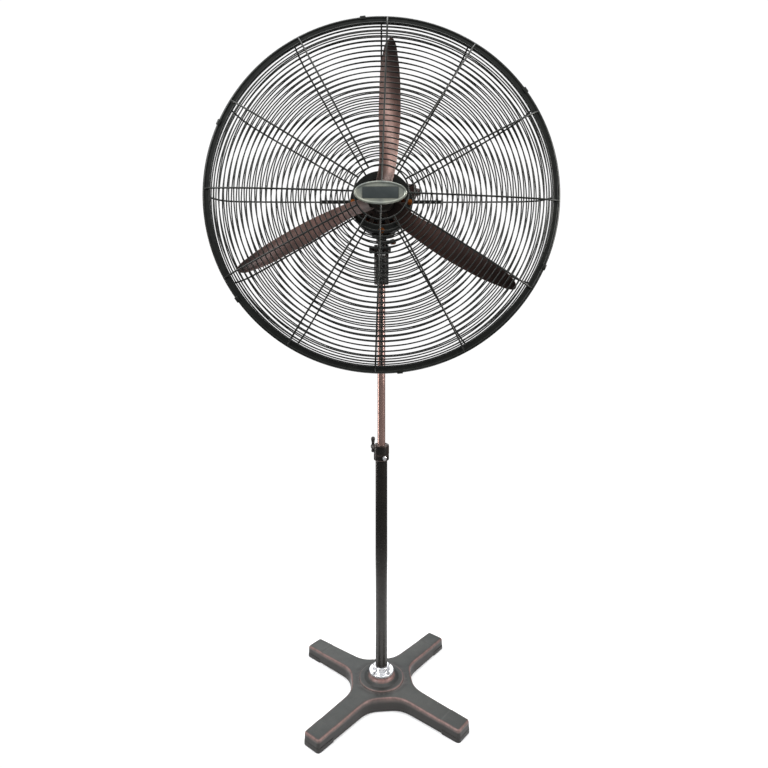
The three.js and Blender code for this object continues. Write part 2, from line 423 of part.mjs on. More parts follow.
// ------------------------------------------------------------------ the guards
// A guard is one welded lattice: rings that follow a dished profile, crossed by
// radial spokes. stations: [ring radius, y, half width of the ring].
function lattice(stations, thickness, arc = 2) {
  const rows = [];
  stations.forEach(([r, y, w], i) => {
    const a = stations[Math.max(0, i - 1)], b = stations[Math.min(stations.length - 1, i + 1)];
    const t = new THREE.Vector2(b[0] - a[0], b[1] - a[1]).normalize();
    for (const s of [-1, 1]) rows.push({ r: r + s * w * t.x, y: y + s * w * t.y, nr: -t.y, ny: t.x });
  });
  const perSector = arc + 1, cols = SPOKES * perSector, sector = 2 * Math.PI / SPOKES;
  const angle = (row, col) => {
    const k = Math.floor(col / perSector), j = col % perSector, delta = SPOKE_HALF / row.r;
    return k * sector + (j === 0 ? -delta : j === 1 ? delta : (j - 1) * sector / arc);
  };
  const position = [], index = [];
  rows.forEach((row) => {
    for (let c = 0; c < cols; c++) for (const s of [-1, 1]) {
      const a = angle(row, c), r = row.r + s * row.nr * thickness / 2;
      position.push(r * Math.cos(a), row.y + s * row.ny * thickness / 2, r * Math.sin(a));
    }
  });
  const v = (s, c, side) => (s * cols + (c % cols)) * 2 + side;
  const full = (s, c) => s >= 0 && s < rows.length - 1 && (s % 2 === 0 || ((c + cols) % cols) % perSector === 0);
  const quad = (a, b, c, d) => index.push(a, b, c, a, c, d);
  for (let s = 0; s < rows.length - 1; s++) for (let c = 0; c < cols; c++) {
    if (!full(s, c)) continue;
    quad(v(s, c, 0), v(s + 1, c, 0), v(s + 1, c + 1, 0), v(s, c + 1, 0));
    quad(v(s, c, 1), v(s, c + 1, 1), v(s + 1, c + 1, 1), v(s + 1, c, 1));
    if (!full(s - 1, c)) quad(v(s, c, 0), v(s, c + 1, 0), v(s, c + 1, 1), v(s, c, 1));
    if (!full(s + 1, c)) quad(v(s + 1, c, 1), v(s + 1, c + 1, 1), v(s + 1, c + 1, 0), v(s + 1, c, 0));
    if (!full(s, c - 1)) quad(v(s, c, 1), v(s + 1, c, 1), v(s + 1, c, 0), v(s, c, 0));
    if (!full(s, c + 1)) quad(v(s, c + 1, 0), v(s + 1, c + 1, 0), v(s + 1, c + 1, 1), v(s, c + 1, 1));
  }
  const g = new THREE.BufferGeometry();
  g.setAttribute('position', new THREE.Float32BufferAttribute(position, 3));
  g.setIndex(index);
  return g;
}
{
  const plateY = FRONT_FACE - 2.6;
  let rear = solidOf(lattice([[67.6, plateY, 8.6], [150, -61.5, 3], [230, -63, 3], [305, -66, 3], [370, -77, 3],
    [394, -108, 3], [401.3, RIM_Y + 3.6, 3.4]], 3.4));
  for (let k = 0; k < 4; k++) {
    const [x, z] = around(90 * k, BOLT_CIRCLE);
    rear = cut(rear, bar(3 + GAP, [x, FRONT_FACE - 10, z], [x, FRONT_FACE + 1, z], 10));
  }
  piece(head, 'rear_guard', rear, wire());
  const front = join(lattice([[60, -210, 3], [130, -209, 3], [205, -206, 3], [275, -201, 3], [340, -192, 3], [386, -180, 3], [401.5, RIM_Y - 3.4, 3.4]], 3.4),
    block(-59, 59, -211.4, -208.6, -2.5, 2.5), block(-2.5, 2.5, -211.4, -208.6, -59, 59),
    turnY(ring(389, RIM_R - 0.2, RIM_Y - 6.1, RIM_Y - 2.9), 36));
  piece(head, 'front_guard', front, wire()).rotation.y = rad(2);   // it is fitted slightly turned
}

// rim clips that hold the two guards together
for (let k = 0; k < 6; k++) {
  const clip = new THREE.Shape();
  const [f, b] = [RIM_Y - 9.2, RIM_Y + 10];     // front and back of the clip
  clip.moveTo(398, f); clip.lineTo(RIM_R + 4.6, f); clip.lineTo(RIM_R + 4.6, b); clip.lineTo(398, b);
  clip.lineTo(398, b - 1.8); clip.lineTo(RIM_R + 1.2, b - 1.8); clip.lineTo(RIM_R + 1.2, f + 1.8); clip.lineTo(398, f + 1.8); clip.closePath();
  const mesh = piece(head, `rim_clip_${k + 1}`, slab(clip, -8, 8, 1), wire());
  mesh.rotation.y = -rad(CLIP_FIRST + 60 * k);
}

// oval badge plate at the middle of the front guard, with a plain sunk panel
{
  const oval = new THREE.Shape();
  oval.absellipse(0, 0, 58.5, 25.8, 0, 2 * Math.PI, false);
  const panel = new THREE.Shape();
  panel.moveTo(-40, -12); panel.lineTo(40, -12); panel.lineTo(40, 12); panel.lineTo(-40, 12); panel.closePath();
  piece(head, 'badge', cut(slabY(oval, -216.4, -212.3, 10, 1), slabY(panel, -220, -215.4, 1)), badgeMetal()).position.set(-2.2, 0, -2);
}

// ------------------------------------------------------------------- the rotor
piece(rotor, 'motor_shaft', turnY([[0, -146], [5, -146], [5, -125], [SHAFT_R, -125], [SHAFT_R, 52], [6, 52], [6, 104], [0, 104]], 18), steel());
piece(rotor, 'rotor_core', turnY(ring(SHAFT_R + GAP, 44.4, -23, 17), 24), castIron());
piece(rotor, 'blade_hub', turnY([[SHAFT_R + GAP, -124], [24, -124], [HUB_R, -118], [HUB_R, -97], [22, -97], [18, -88], [SHAFT_R + GAP, -88], [SHAFT_R + GAP, -124]], 24), bladePaint());
piece(rotor, 'hub_nut', cut(turnY([[0, -151], [7, -151], [12, -147], [12, -125.3], [0, -125.3]], 12), turnY(rod(5 + GAP, -147, -120), 12)), polished());

// blade stations: [radius, trailing edge, leading edge, pitch in degrees]
const BLADE = [[34.5, -13, 24, 36], [75, -6, 34, 40], [130, -5, 41, 37], [190, -6.4, 45.8, 33], [250, -5, 46, 29], [305, -2.4, 43.9, 25],
  [345, 4, 38.8, 22], [370, 11, 34, 20], [381, 20, 28, 19]];
function bladeSheet() {
  const position = [], index = [];
  for (const [r, x0, x1, pitch] of BLADE) {
    const b = rad(pitch), nx = Math.sin(b), ny = -Math.cos(b), width = x1 - x0, camber = 0.06 * width;
    for (const f of [0, 0.5, 1]) for (const s of [-1, 1]) {
      const x = x0 + f * width, y = (f - 0.5) * width * Math.tan(b);
      const lift = camber * 4 * f * (1 - f) * -1 + s * BLADE_T / 2;
      position.push(x + nx * lift, BLADE_Y + y + ny * lift, r);
    }
  }
  const v = (i, j, s) => i * 6 + j * 2 + s, quad = (a, b, c, d) => index.push(a, b, c, a, c, d), last = BLADE.length - 1;
  for (let i = 0; i < last; i++) {
    for (let j = 0; j < 2; j++) {
      quad(v(i, j, 0), v(i, j + 1, 0), v(i + 1, j + 1, 0), v(i + 1, j, 0));
      quad(v(i, j, 1), v(i + 1, j, 1), v(i + 1, j + 1, 1), v(i, j + 1, 1));
    }
    quad(v(i, 0, 0), v(i + 1, 0, 0), v(i + 1, 0, 1), v(i, 0, 1));
    quad(v(i, 2, 0), v(i, 2, 1), v(i + 1, 2, 1), v(i + 1, 2, 0));
  }
  for (let j = 0; j < 2; j++) {
    quad(v(0, j, 0), v(0, j, 1), v(0, j + 1, 1), v(0, j + 1, 0));
    quad(v(last, j, 0), v(last, j + 1, 0), v(last, j + 1, 1), v(last, j, 1));
  }
  const g = new THREE.BufferGeometry();
  g.setAttribute('position', new THREE.Float32BufferAttribute(position, 3));
  g.setIndex(index);
  return g;
}
for (let k = 0; k < BLADE_COUNT; k++) {
  const mesh = piece(rotor, `blade_${k + 1}`, bladeSheet(), bladePaint());
  mesh.rotation.y = rad(120 * k);
}

export default fan;
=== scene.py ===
"""Looks of the pedestal fan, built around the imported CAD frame.
Lengths in this file are millimetres in the row frame (+Z up, the fan blows towards -Y) and are
turned into metres when a mesh is made."""
import bpy
import bmesh
import math
import numpy as np
from mathutils import Matrix, Vector


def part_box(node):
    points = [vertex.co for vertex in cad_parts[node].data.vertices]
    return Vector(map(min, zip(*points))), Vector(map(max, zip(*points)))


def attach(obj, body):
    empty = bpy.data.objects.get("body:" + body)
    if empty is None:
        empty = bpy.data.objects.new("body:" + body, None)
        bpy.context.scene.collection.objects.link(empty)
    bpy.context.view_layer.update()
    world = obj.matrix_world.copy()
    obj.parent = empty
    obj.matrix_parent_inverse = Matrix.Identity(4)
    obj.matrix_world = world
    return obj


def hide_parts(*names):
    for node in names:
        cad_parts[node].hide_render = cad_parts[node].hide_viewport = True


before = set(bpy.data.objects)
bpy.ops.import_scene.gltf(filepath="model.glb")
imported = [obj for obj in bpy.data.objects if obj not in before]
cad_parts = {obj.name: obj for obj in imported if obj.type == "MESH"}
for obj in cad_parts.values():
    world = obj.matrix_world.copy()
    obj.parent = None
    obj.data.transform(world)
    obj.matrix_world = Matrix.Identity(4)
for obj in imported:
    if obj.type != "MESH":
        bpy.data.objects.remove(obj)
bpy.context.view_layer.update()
S = bpy.context.scene
MM = 0.001
RAD = math.radians
PI = math.pi


# ------------------------------------------------------------------ positions
def node(name):
    """A CAD node's box in mm."""
    lo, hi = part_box(name)
    return [v * 1000 for v in lo], [v * 1000 for v in hi]


rear_lo, rear_hi = node("rear_guard")
HEAD_Z = (rear_lo[2] + rear_hi[2]) / 2          # fan axis
front_lo, front_hi = node("front_guard")
shell_lo, shell_hi = node("motor_shell")
outer_lo, outer_hi = node("outer_tube")
inner_lo, inner_hi = node("inner_tube")
fork_lo, fork_hi = node("neck_fork")
collar_lo, collar_hi = node("clamp_collar")
TILT_Z = (node("tilt_bolt")[0][2] + node("tilt_bolt")[1][2]) / 2
LOCK_Z = 616
BASE_TURN = RAD(5.4)
ARM_REACH, ARM_HALF = 247.0, 25.0
RIM_Y = -166.5


# ------------------------------------------------------------------- geometry
def fillet(pts, r, n=4, closed=False):
    """Rounds the corners of a 2D line. r is one radius, or one for each point."""
    out, count = [], len(pts)
    for i, p in enumerate(pts):
        ri = r[i] if isinstance(r, (list, tuple)) else r
        if ri <= 0 or (not closed and i in (0, count - 1)):
            out.append(tuple(p))
            continue
        b = Vector(p)
        u, v = Vector(pts[i - 1]) - b, Vector(pts[(i + 1) % count]) - b
        lu, lv = u.length, v.length
        if lu < 1e-9 or lv < 1e-9:
            out.append(tuple(p))
            continue
        u, v = u / lu, v / lv
        ang = u.angle(v)
        if ang > RAD(176) or ang < RAD(2):
            out.append(tuple(p))
            continue
        t = min(ri / math.tan(ang / 2), lu * 0.48, lv * 0.48)
        rr = t * math.tan(ang / 2)
        p0, p1 = b + u * t, b + v * t
        c = b + (u + v).normalized() * (rr / math.sin(ang / 2))
        a0, a1 = math.atan2(p0.y - c.y, p0.x - c.x), math.atan2(p1.y - c.y, p1.x - c.x)
        d = (a1 - a0 + PI) % (2 * PI) - PI
        for k in range(n + 1):
            a = a0 + d * k / n
            out.append((c.x + rr * math.cos(a), c.y + rr * math.sin(a)))
    return out


def rows_near_ends(line, near=(1.0, 2.6)):
    """Adds points close to both ends of each long straight stretch, so that edge wear stays near the edge."""
    out = [tuple(line[0])]
    for p, q in zip(line, line[1:]):
        d = math.dist(p, q)
        if d > 2.5 * near[0]:
            steps = [x / d for x in near if x < d * 0.45]
            for t in steps + [1 - x for x in steps[::-1]]:
                out.append((p[0] + (q[0] - p[0]) * t, p[1] + (q[1] - p[1]) * t))
        out.append(tuple(q))
    return out


def on_axis(axis, r_cos, r_sin, h):
    if axis == "Z":
        return (r_cos, r_sin, h)
    if axis == "Y":
        return (r_cos, h, r_sin)
    return (h, r_cos, r_sin)


def lathe(profile, axis="Z", seg=64, at=(0, 0, 0), wave=None):
    """A turned solid. The profile is (radius, height) points. It closes on itself, or ends on the axis.
    wave(angle, radius, height) may return a changed radius."""
    closed = abs(profile[0][0] - profile[-1][0]) < 1e-6 and abs(profile[0][1] - profile[-1][1]) < 1e-6
    profile = rows_near_ends(profile)
    pts = profile[:-1] if closed else profile
    verts, rows = [], []
    for r, h in pts:
        if r < 1e-6:
            rows.append([len(verts)])
            verts.append(on_axis(axis, 0, 0, h))
            continue
        row = []
        for k in range(seg):
            a = 2 * PI * k / seg
            rr = wave(a, r, h) if wave else r
            row.append(len(verts))
            verts.append(on_axis(axis, rr * math.cos(a), rr * math.sin(a), h))
        rows.append(row)
    faces = []
    pairs = list(zip(rows, rows[1:])) + ([(rows[-1], rows[0])] if closed else [])
    for a, b in pairs:
        for k in range(seg):
            j = (k + 1) % seg
            if len(a) == 1 and len(b) == 1:
                break
            if len(a) == 1:
                faces.append((a[0], b[j], b[k]))
            elif len(b) == 1:
                faces.append((a[k], a[j], b[0]))
            else:
                faces.append((a[k], a[j], b[j], b[k]))
    if not closed:                               # an end that isn't on the axis is capped
        for row, flip in ((rows[0], False), (rows[-1], True)):
            if len(row) > 1:
                faces.append(tuple(row if flip else row[::-1]))
    v = np.array(verts, float) + np.array(at, float)
    return v, faces


def torus(R, y, r, seg=144, sides=8, axis="Y", at=(0, 0, 0), squash=1.0):
    a = np.linspace(0, 2 * PI, seg, endpoint=False)
    b = np.linspace(0, 2 * PI, sides, endpoint=False)
    A, B = np.meshgrid(a, b, indexing="ij")
    rr, hh = R + r * np.cos(B), y + squash * r * np.sin(B)
    if axis == "Y":
        v = np.stack([rr * np.cos(A), hh, rr * np.sin(A)], -1)
    elif axis == "Z":
        v = np.stack([rr * np.cos(A), rr * np.sin(A), hh], -1)
    else:
        v = np.stack([hh, rr * np.cos(A), rr * np.sin(A)], -1)
    i, j = np.meshgrid(np.arange(seg), np.arange(sides), indexing="ij")
    i2, j2 = (i + 1) % seg, (j + 1) % sides
    f = np.stack([i * sides + j, i2 * sides + j, i2 * sides + j2, i * sides + j2], -1).reshape(-1, 4)
    return v.reshape(-1, 3) + np.array(at, float), [tuple(int(x) for x in q) for q in f]


def tube(points, r, sides=8, closed=False):
    """A round bar along a line of points. r is one radius, or one for each point."""
    P = np.array(points, float)
    n = len(P)
    T = np.roll(P, -1, 0) - np.roll(P, 1, 0) if closed else np.gradient(P, axis=0)
    T /= np.linalg.norm(T, axis=1)[:, None]
    up = np.array([0, 0, 1.0]) if abs(T[0][2]) < 0.9 else np.array([1.0, 0, 0])
    N = np.zeros_like(P)
    N[0] = np.cross(T[0], up)
    N[0] /= np.linalg.norm(N[0])
    for i in range(1, n):
        v = N[i - 1] - T[i] * (N[i - 1] @ T[i])
        N[i] = v / np.linalg.norm(v)
    B = np.cross(T, N)
    radii = np.full(n, r, float) if np.isscalar(r) else np.array(r, float)
    a = np.linspace(0, 2 * PI, sides, endpoint=False)
    v = P[:, None, :] + radii[:, None, None] * (N[:, None, :] * np.cos(a)[None, :, None] + B[:, None, :] * np.sin(a)[None, :, None])
    faces = []
    for i in range(n if closed else n - 1):
        i2 = (i + 1) % n
        for j in range(sides):
            j2 = (j + 1) % sides
            faces.append((i * sides + j, i * sides + j2, i2 * sides + j2, i2 * sides + j))
    if not closed:
        faces.append(tuple(range(sides))[::-1])
        faces.append(tuple((n - 1) * sides + j for j in range(sides)))
    return v.reshape(-1, 3), faces


def prism(outline, a, b, plane="XY"):
    """A 2D outline drawn out from a to b. In plane YZ it is drawn out along X, and in XZ along Y."""
    n = len(outline)
    v = []
    for h in (a, b):
        for p, q in outline:
            v.append((p, q, h) if plane == "XY" else (h, p, q) if plane == "YZ" else (p, h, q))
    faces = [tuple(range(n))[::-1], tuple(range(n, 2 * n))]
    faces += [(i, (i + 1) % n, n + (i + 1) % n, n + i) for i in range(n)]
    return np.array(v, float), faces


def block(x0, x1, y0, y1, z0, z1):
    return prism([(x0, y0), (x1, y0), (x1, y1), (x0, y1)], z0, z1)


def rounded_rect(x0, x1, y0, y1, r, n=5):
    return fillet([(x0, y0), (x1, y0), (x1, y1), (x0, y1)], r, n, closed=True)


def circle(cx, cy, r, n=48, a0=0.0, a1=2 * PI):
    full = abs(a1 - a0) >= 2 * PI - 1e-6
    return [(cx + r * math.cos(a0 + (a1 - a0) * k / (n if full else n - 1)), cy + r * math.sin(a0 + (a1 - a0) * k / (n if full else n - 1))) for k in range(n)]


def moved(part, matrix):
    v, f = part
    M = np.array(matrix, float)
    return v @ M[:3, :3].T + M[:3, 3], f


def turned(part, deg, axis="Z", about=(0, 0, 0)):
    m = Matrix.Translation(about) @ Matrix.Rotation(RAD(deg), 4, axis) @ Matrix.Translation([-c for c in about])
    return moved(part, m)


def shifted(part, x=0, y=0, z=0):
    return part[0] + np.array([x, y, z], float), part[1]


def aimed(part, at, direction):
    """A part made along +Z from the origin, put at a point and turned along a direction."""
    q = Vector((0, 0, 1)).rotation_difference(Vector(direction).normalized())
    return moved(part, Matrix.Translation(at) @ q.to_matrix().to_4x4())


def together(*parts):
    verts, faces, base = [], [], 0
    for v, f in parts:
        verts.append(v)
        faces += [tuple(i + base for i in q) for q in f]
        base += len(v)
    return np.concatenate(verts), faces


def volume_of(v, faces):
    tri = [(q[0], q[i], q[i + 1]) for q in faces for i in range(1, len(q) - 1)]
    t = np.array(tri)
    a, b, c = v[t[:, 0]], v[t[:, 1]], v[t[:, 2]]
    return float(np.einsum("ij,ij->i", a, np.cross(b, c)).sum())


def outward(part):
    v, f = part
    c = v.mean(0)
    return (v, [tuple(q[::-1]) for q in f]) if volume_of(v - c, f) < 0 else part


def hex_head(r, a, b, dome=0.8, flats=6):
    """A six-sided bolt head along +Z with a domed, chamfered top."""
    out = []
    prof = [(0.0, a), (r, a), (r, b - 1.1), (r * 0.985, b - 0.7), (r * 0.86, b - 0.12), (r * 0.80, b), (r * 0.4, b + dome * 0.7), (0.0, b + dome)]
    seg = 48

    def six(ang, rad, h):
        k = PI / flats
        w = (ang + k) % (2 * k) - k
        apothem = r * math.cos(k)
        edge = apothem / math.cos(w)
        return min(rad, edge) if rad > apothem * 0.97 else rad
    return lathe(prof, "Z", seg, wave=six)


def socket_screw(r, a, b):
    """A domed screw head along +Z, without a slot."""
    v, f = lathe([(0, a), (r, a), (r, a + (b - a) * 0.35), (r * 0.93, a + (b - a) * 0.62), (r * 0.72, b - (b - a) * 0.1), (r * 0.45, b), (0, b)], "Z", 32)
    return v, f


# ------------------------------------------------------------- Blender objects
def raw_object(part, name="tmp"):
    v, f = part
    me = bpy.data.meshes.new(name)
    me.from_pydata((v * MM).tolist(), [], f)
    me.update()
    ob = bpy.data.objects.new(name, me)
    S.collection.objects.link(ob)
    return ob


def settle(ob):
    """Applies the modifiers and returns the object with its final mesh."""
    bpy.context.view_layer.update()
    dg = bpy.context.evaluated_depsgraph_get()
    me = bpy.data.meshes.new_from_object(ob.evaluated_get(dg), preserve_all_data_layers=True, depsgraph=dg)
    old = ob.data
    ob.modifiers.clear()
    ob.data = me
    bpy.data.meshes.remove(old)
    return ob


def drop(ob):
    me = ob.data
    bpy.data.objects.remove(ob)
    bpy.data.meshes.remove(me)


def combine(part, others, operation):
    """A boolean with each of the other parts, as a final mesh object."""
    ob = part if isinstance(part, bpy.types.Object) else raw_object(outward(part))
    tools = []
    for other in others:
        t = raw_object(outward(other), "tool")
        tools.append(t)
        m = ob.modifiers.new("b", "BOOLEAN")
        m.operation = operation
        m.object = t
        m.solver = "EXACT"
    settle(ob)
    for t in tools:
        drop(t)
    return ob


def bevelled(part, width, segments=3, angle=30, hard=True):
    ob = part if isinstance(part, bpy.types.Object) else raw_object(outward(part))
    m = ob.modifiers.new("bevel", "BEVEL")
    m.width = width * MM
    m.segments = segments
    m.limit_method = "ANGLE"
    m.angle_limit = RAD(angle)
    m.miter_outer = "MITER_ARC"
    m.use_clamp_overlap = True
    m.harden_normals = False
    return settle(ob)


def cast(parts, voxel, smooth=6, cutters=()):
    """Solids run together as one casting: a voxel remesh joins them and rounds their meetings."""
    ob = raw_object(together(*[outward(p) for p in parts]))
    m = ob.modifiers.new("remesh", "REMESH")
    m.mode = "VOXEL"
    m.voxel_size = voxel * MM
    m.adaptivity = 0
    settle(ob)
    if smooth:
        m = ob.modifiers.new("smooth", "SMOOTH")
        m.factor = 0.5
        m.iterations = smooth
        settle(ob)
    if cutters:
        combine(ob, cutters, "DIFFERENCE")
    return ob


def geometry_of(ob):
    """The mesh of a temporary object as a part in mm, and the object is dropped."""
    me = ob.data
    v = np.zeros(len(me.vertices) * 3)
    me.vertices.foreach_get("co", v)
    f = [tuple(p.vertices) for p in me.polygons]
    drop(ob)
    return v.reshape(-1, 3) / MM, f


def mark_edges(me, reach=2.5):
    """Writes two attributes for the finish: edge, which is high where the surface is convex, and a darkening mask,
    which is high where it is concave.
    """
    n = len(me.vertices)
    co = np.zeros(n * 3)
    me.vertices.foreach_get("co", co)
    co = co.reshape(-1, 3) * 1000
    no = np.zeros(n * 3)
    me.vertices.foreach_get("normal", no)
    no = no.reshape(-1, 3)
    e = np.zeros(len(me.edges) * 2, int)
    me.edges.foreach_get("vertices", e)
    e = e.reshape(-1, 2)
    d = co[e[:, 1]] - co[e[:, 0]]
    l2 = np.maximum((d * d).sum(1), 1e-8)
    k0 = -(no[e[:, 0]] * d).sum(1) / l2
    k1 = (no[e[:, 1]] * d).sum(1) / l2
    total, count = np.zeros(n), np.zeros(n)
    np.add.at(total, e[:, 0], k0)
    np.add.at(total, e[:, 1], k1)
    np.add.at(count, e[:, 0], 1)
    np.add.at(count, e[:, 1], 1)
    k = total / np.maximum(count, 1)                     # about half of 1 / radius
    longest = np.zeros(n)
    np.maximum.at(longest, e[:, 0], np.sqrt(l2))
    np.maximum.at(longest, e[:, 1], np.sqrt(l2))
    k *= np.clip(4.0 / np.maximum(longest, 1e-3), 0, 1)  # a long face would carry the wear across it
    for name, value in (("edge", k), ("darkening", -k)):
        w = np.clip((value * reach * 2 - 0.15) / 0.85, 0, 1)
        # spread over the neighbours once, so that the wear fades out
        for _ in range(2):
            s = w.copy()
            np.maximum.at(s, e[:, 0], w[e[:, 1]] * 0.55)
            np.maximum.at(s, e[:, 1], w[e[:, 0]] * 0.55)
            w = s
        a = me.attributes.get(name) or me.attributes.new(name, "FLOAT", "POINT")
        a.data.foreach_set("value", w.astype(np.float32))


def inset_flats(me, width=0.9):
    """An inner border on each large flat face, so that wear at its edge doesn't spread over it."""
    bm = bmesh.new()
    bm.from_mesh(me)
    flats = []
    for f in bm.faces:
        if len(f.verts) >= 4:
            around_it = sum(e.calc_length() for e in f.edges)
            if f.calc_area() / max(around_it, 1e-9) > 1.6 * width * MM:
                flats.append(f)
    if flats:
        bmesh.ops.inset_individual(bm, faces=flats, thickness=width * MM, use_even_offset=True)
        bm.to_mesh(me)
    bm.free()


def piece(name, shape, material, body, stands_for=(), smooth=38, reach=2.5, inset=False):
    """A finished piece from a part or a temporary object. It rides on a body and hides the CAD nodes that it stands
    for.
    """
    if not isinstance(shape, bpy.types.Object):
        shape = raw_object(outward(shape), name)
    if inset:
        inset_flats(shape.data)
    shape.name = name
    me = shape.data
    me.name = name
    me.materials.clear()
    me.materials.append(material)
    me.polygons.foreach_set("material_index", np.zeros(len(me.polygons), np.int32))
    me.shade_smooth()
    me.set_sharp_from_angle(angle=RAD(smooth))
    mark_edges(me, reach)
    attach(shape, body)
    if stands_for:
        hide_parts(*([stands_for] if isinstance(stands_for, str) else stands_for))
    return shape


# ------------------------------------------------------------------- materials
def srgb(*c):
    c = [x / 255 for x in c]
    return tuple(x / 12.92 if x <= 0.04045 else ((x + 0.055) / 1.055) ** 2.4 for x in c) + (1.0,)


class Nodes:
    def __init__(self, name):
        self.m = bpy.data.materials.new(name)
        self.m.use_nodes = True
        self.t = self.m.node_tree
        self.t.nodes.clear()
        self.out = self.t.nodes.new("ShaderNodeOutputMaterial")
        self.b = self.t.nodes.new("ShaderNodeBsdfPrincipled")
        self.t.links.new(self.b.outputs[0], self.out.inputs[0])
        self.co = self.t.nodes.new("ShaderNodeTexCoord").outputs["Object"]

    def link(self, a, b):
        self.t.links.new(a, b)

    def stretch(self, x, y, z):
        m = self.t.nodes.new("ShaderNodeMapping")
        m.inputs["Scale"].default_value = (x, y, z)
        self.link(self.co, m.inputs["Vector"])
        return m.outputs[0]

    def noise(self, scale, detail=3, rough=0.5, vector=None, distortion=0.0):
        n = self.t.nodes.new("ShaderNodeTexNoise")
        n.inputs["Scale"].default_value = scale
        n.inputs["Detail"].default_value = detail
        n.inputs["Roughness"].default_value = rough
        n.inputs["Distortion"].default_value = distortion
        self.link(vector or self.co, n.inputs["Vector"])
        return n.outputs[0]

    def cells(self, scale, feature="F1", vector=None):
        n = self.t.nodes.new("ShaderNodeTexVoronoi")
        n.feature = feature
        n.inputs["Scale"].default_value = scale
        self.link(vector or self.co, n.inputs["Vector"])
        return n.outputs["Distance"]

    def remap(self, value, a, b, c=0.0, d=1.0):
        n = self.t.nodes.new("ShaderNodeMapRange")
        n.inputs["From Min"].default_value = a
        n.inputs["From Max"].default_value = b
        n.inputs["To Min"].default_value = c
        n.inputs["To Max"].default_value = d
        self.link(value, n.inputs["Value"])
        return n.outputs["Result"]

    def math(self, op, a, b=None):
        n = self.t.nodes.new("ShaderNodeMath")
        n.operation = op
        for i, x in enumerate((a, b)):
            if x is None:
                continue
            if isinstance(x, (int, float)):
                n.inputs[i].default_value = x
            else:
                self.link(x, n.inputs[i])
        return n.outputs[0]

    def mix(self, fac, a, b):
        n = self.t.nodes.new("ShaderNodeMix")
        n.data_type = "RGBA"
        for sock, x in ((n.inputs[0], fac), (n.inputs[6], a), (n.inputs[7], b)):
            if isinstance(x, (int, float)):
                sock.default_value = x
            elif isinstance(x, tuple):
                sock.default_value = x
            else:
                self.link(x, sock)
        return n.outputs[2]

    def attribute(self, name):
        n = self.t.nodes.new("ShaderNodeAttribute")
        n.attribute_name = name
        return n.outputs["Fac"]

    def split(self):
        n = self.t.nodes.new("ShaderNodeSeparateXYZ")
        self.link(self.co, n.inputs[0])
        return n.outputs

    def bump(self, height, strength, distance=0.0004, normal=None):
        n = self.t.nodes.new("ShaderNodeBump")
        n.inputs["Strength"].default_value = strength
        n.inputs["Distance"].default_value = distance
        self.link(height, n.inputs["Height"])
        if normal:
            self.link(normal, n.inputs["Normal"])
        return n.outputs[0]

    def set(self, **kw):
        for k, v in kw.items():
            sock = self.b.inputs[k.replace("_", " ")]
            if isinstance(v, (int, float, tuple)):
                sock.default_value = v
            else:
                self.link(v, sock)
        return self.m


def rubbed_paint(name, dark, light, rub, metallic=0.55, rough=(0.34, 0.5), peel=900.0, peel_strength=0.14, blotch=14.0,
                 edge_gain=1.0, coat=0.12, darkening_amount=0.45, speck=0.25, darkening_colour=None):
    """Antique bronze paint: two tones in soft blotches, the under-tone shown on convex edges as rubbed-through wear (on
    the base also a painted sheen and highlight), darker where the darkening mask is high (in the hollows, and on the
    base painted shade), fine metal flakes, and a slight orange peel."""
    n = Nodes(name)
    big = n.noise(blotch, 4, 0.55)
    fine = n.noise(peel, 2, 0.5)
    flakes = n.cells(2600.0)
    edge = n.attribute("edge")
    darkening = n.attribute("darkening")
    base = n.mix(n.remap(big, 0.32, 0.68), dark, light)
    base = n.mix(n.math("MULTIPLY", n.remap(flakes, 0.28, 0.0), speck), base, rub)
    breakup = n.remap(n.noise(70.0, 5, 0.65), 0.34, 0.62, 0.45, 1.0)
    # the edge mask: rubbed-through wear on convex edges, and on the base also a painted sheen and highlight
    wear_and_sheen = n.math("MULTIPLY", n.math("MULTIPLY", edge, breakup), edge_gain)
    wear_and_sheen = n.math("MINIMUM", wear_and_sheen, 1.0)
    base = n.mix(wear_and_sheen, base, rub)
    # darkening: darker in the hollows, and on the base painted shade on the walls and round the disc and boss
    base = n.mix(n.math("MULTIPLY", darkening, darkening_amount), base, darkening_colour or tuple(x * 0.35 for x in dark[:3]) + (1.0,))
    r = n.remap(n.noise(45.0, 4, 0.6), 0.3, 0.7, rough[0], rough[1])
    r = n.math("SUBTRACT", r, n.math("MULTIPLY", wear_and_sheen, 0.08))
    height = n.math("ADD", n.math("MULTIPLY", fine, 1.0), n.math("MULTIPLY", n.noise(160.0, 3, 0.5), 0.8))
    return n.set(Base_Color=base, Metallic=metallic, Roughness=r, Coat_Weight=coat, Coat_Roughness=0.25,
                 Normal=n.bump(height, peel_strength, 0.00025))


def bare_metal(name, colour, tint, rough=(0.12, 0.24), brushed=None, metallic=1.0, bump=0.04, spots=0.35):
    """Polished or turned metal with faint turning lines, smears and a few dull spots."""
    n = Nodes(name)
    v = n.stretch(*brushed) if brushed else n.co
    lines = n.noise(300.0, 4, 0.6, vector=v)
    smear = n.noise(24.0, 4, 0.6)
    spot = n.remap(n.noise(180.0, 5, 0.7), 0.6, 0.72)
    base = n.mix(n.remap(smear, 0.3, 0.7), colour, tint)
    base = n.mix(n.math("MULTIPLY", spot, spots), base, tuple(x * 0.55 for x in colour[:3]) + (1.0,))
    base = n.mix(n.math("MULTIPLY", n.attribute("darkening"), 0.6), base, tuple(x * 0.2 for x in colour[:3]) + (1.0,))
    r = n.math("ADD", n.remap(lines, 0.3, 0.7, rough[0], rough[1]), n.math("MULTIPLY", spot, 0.18))
    return n.set(Base_Color=base, Metallic=metallic, Roughness=r, Normal=n.bump(lines, bump, 0.0002))


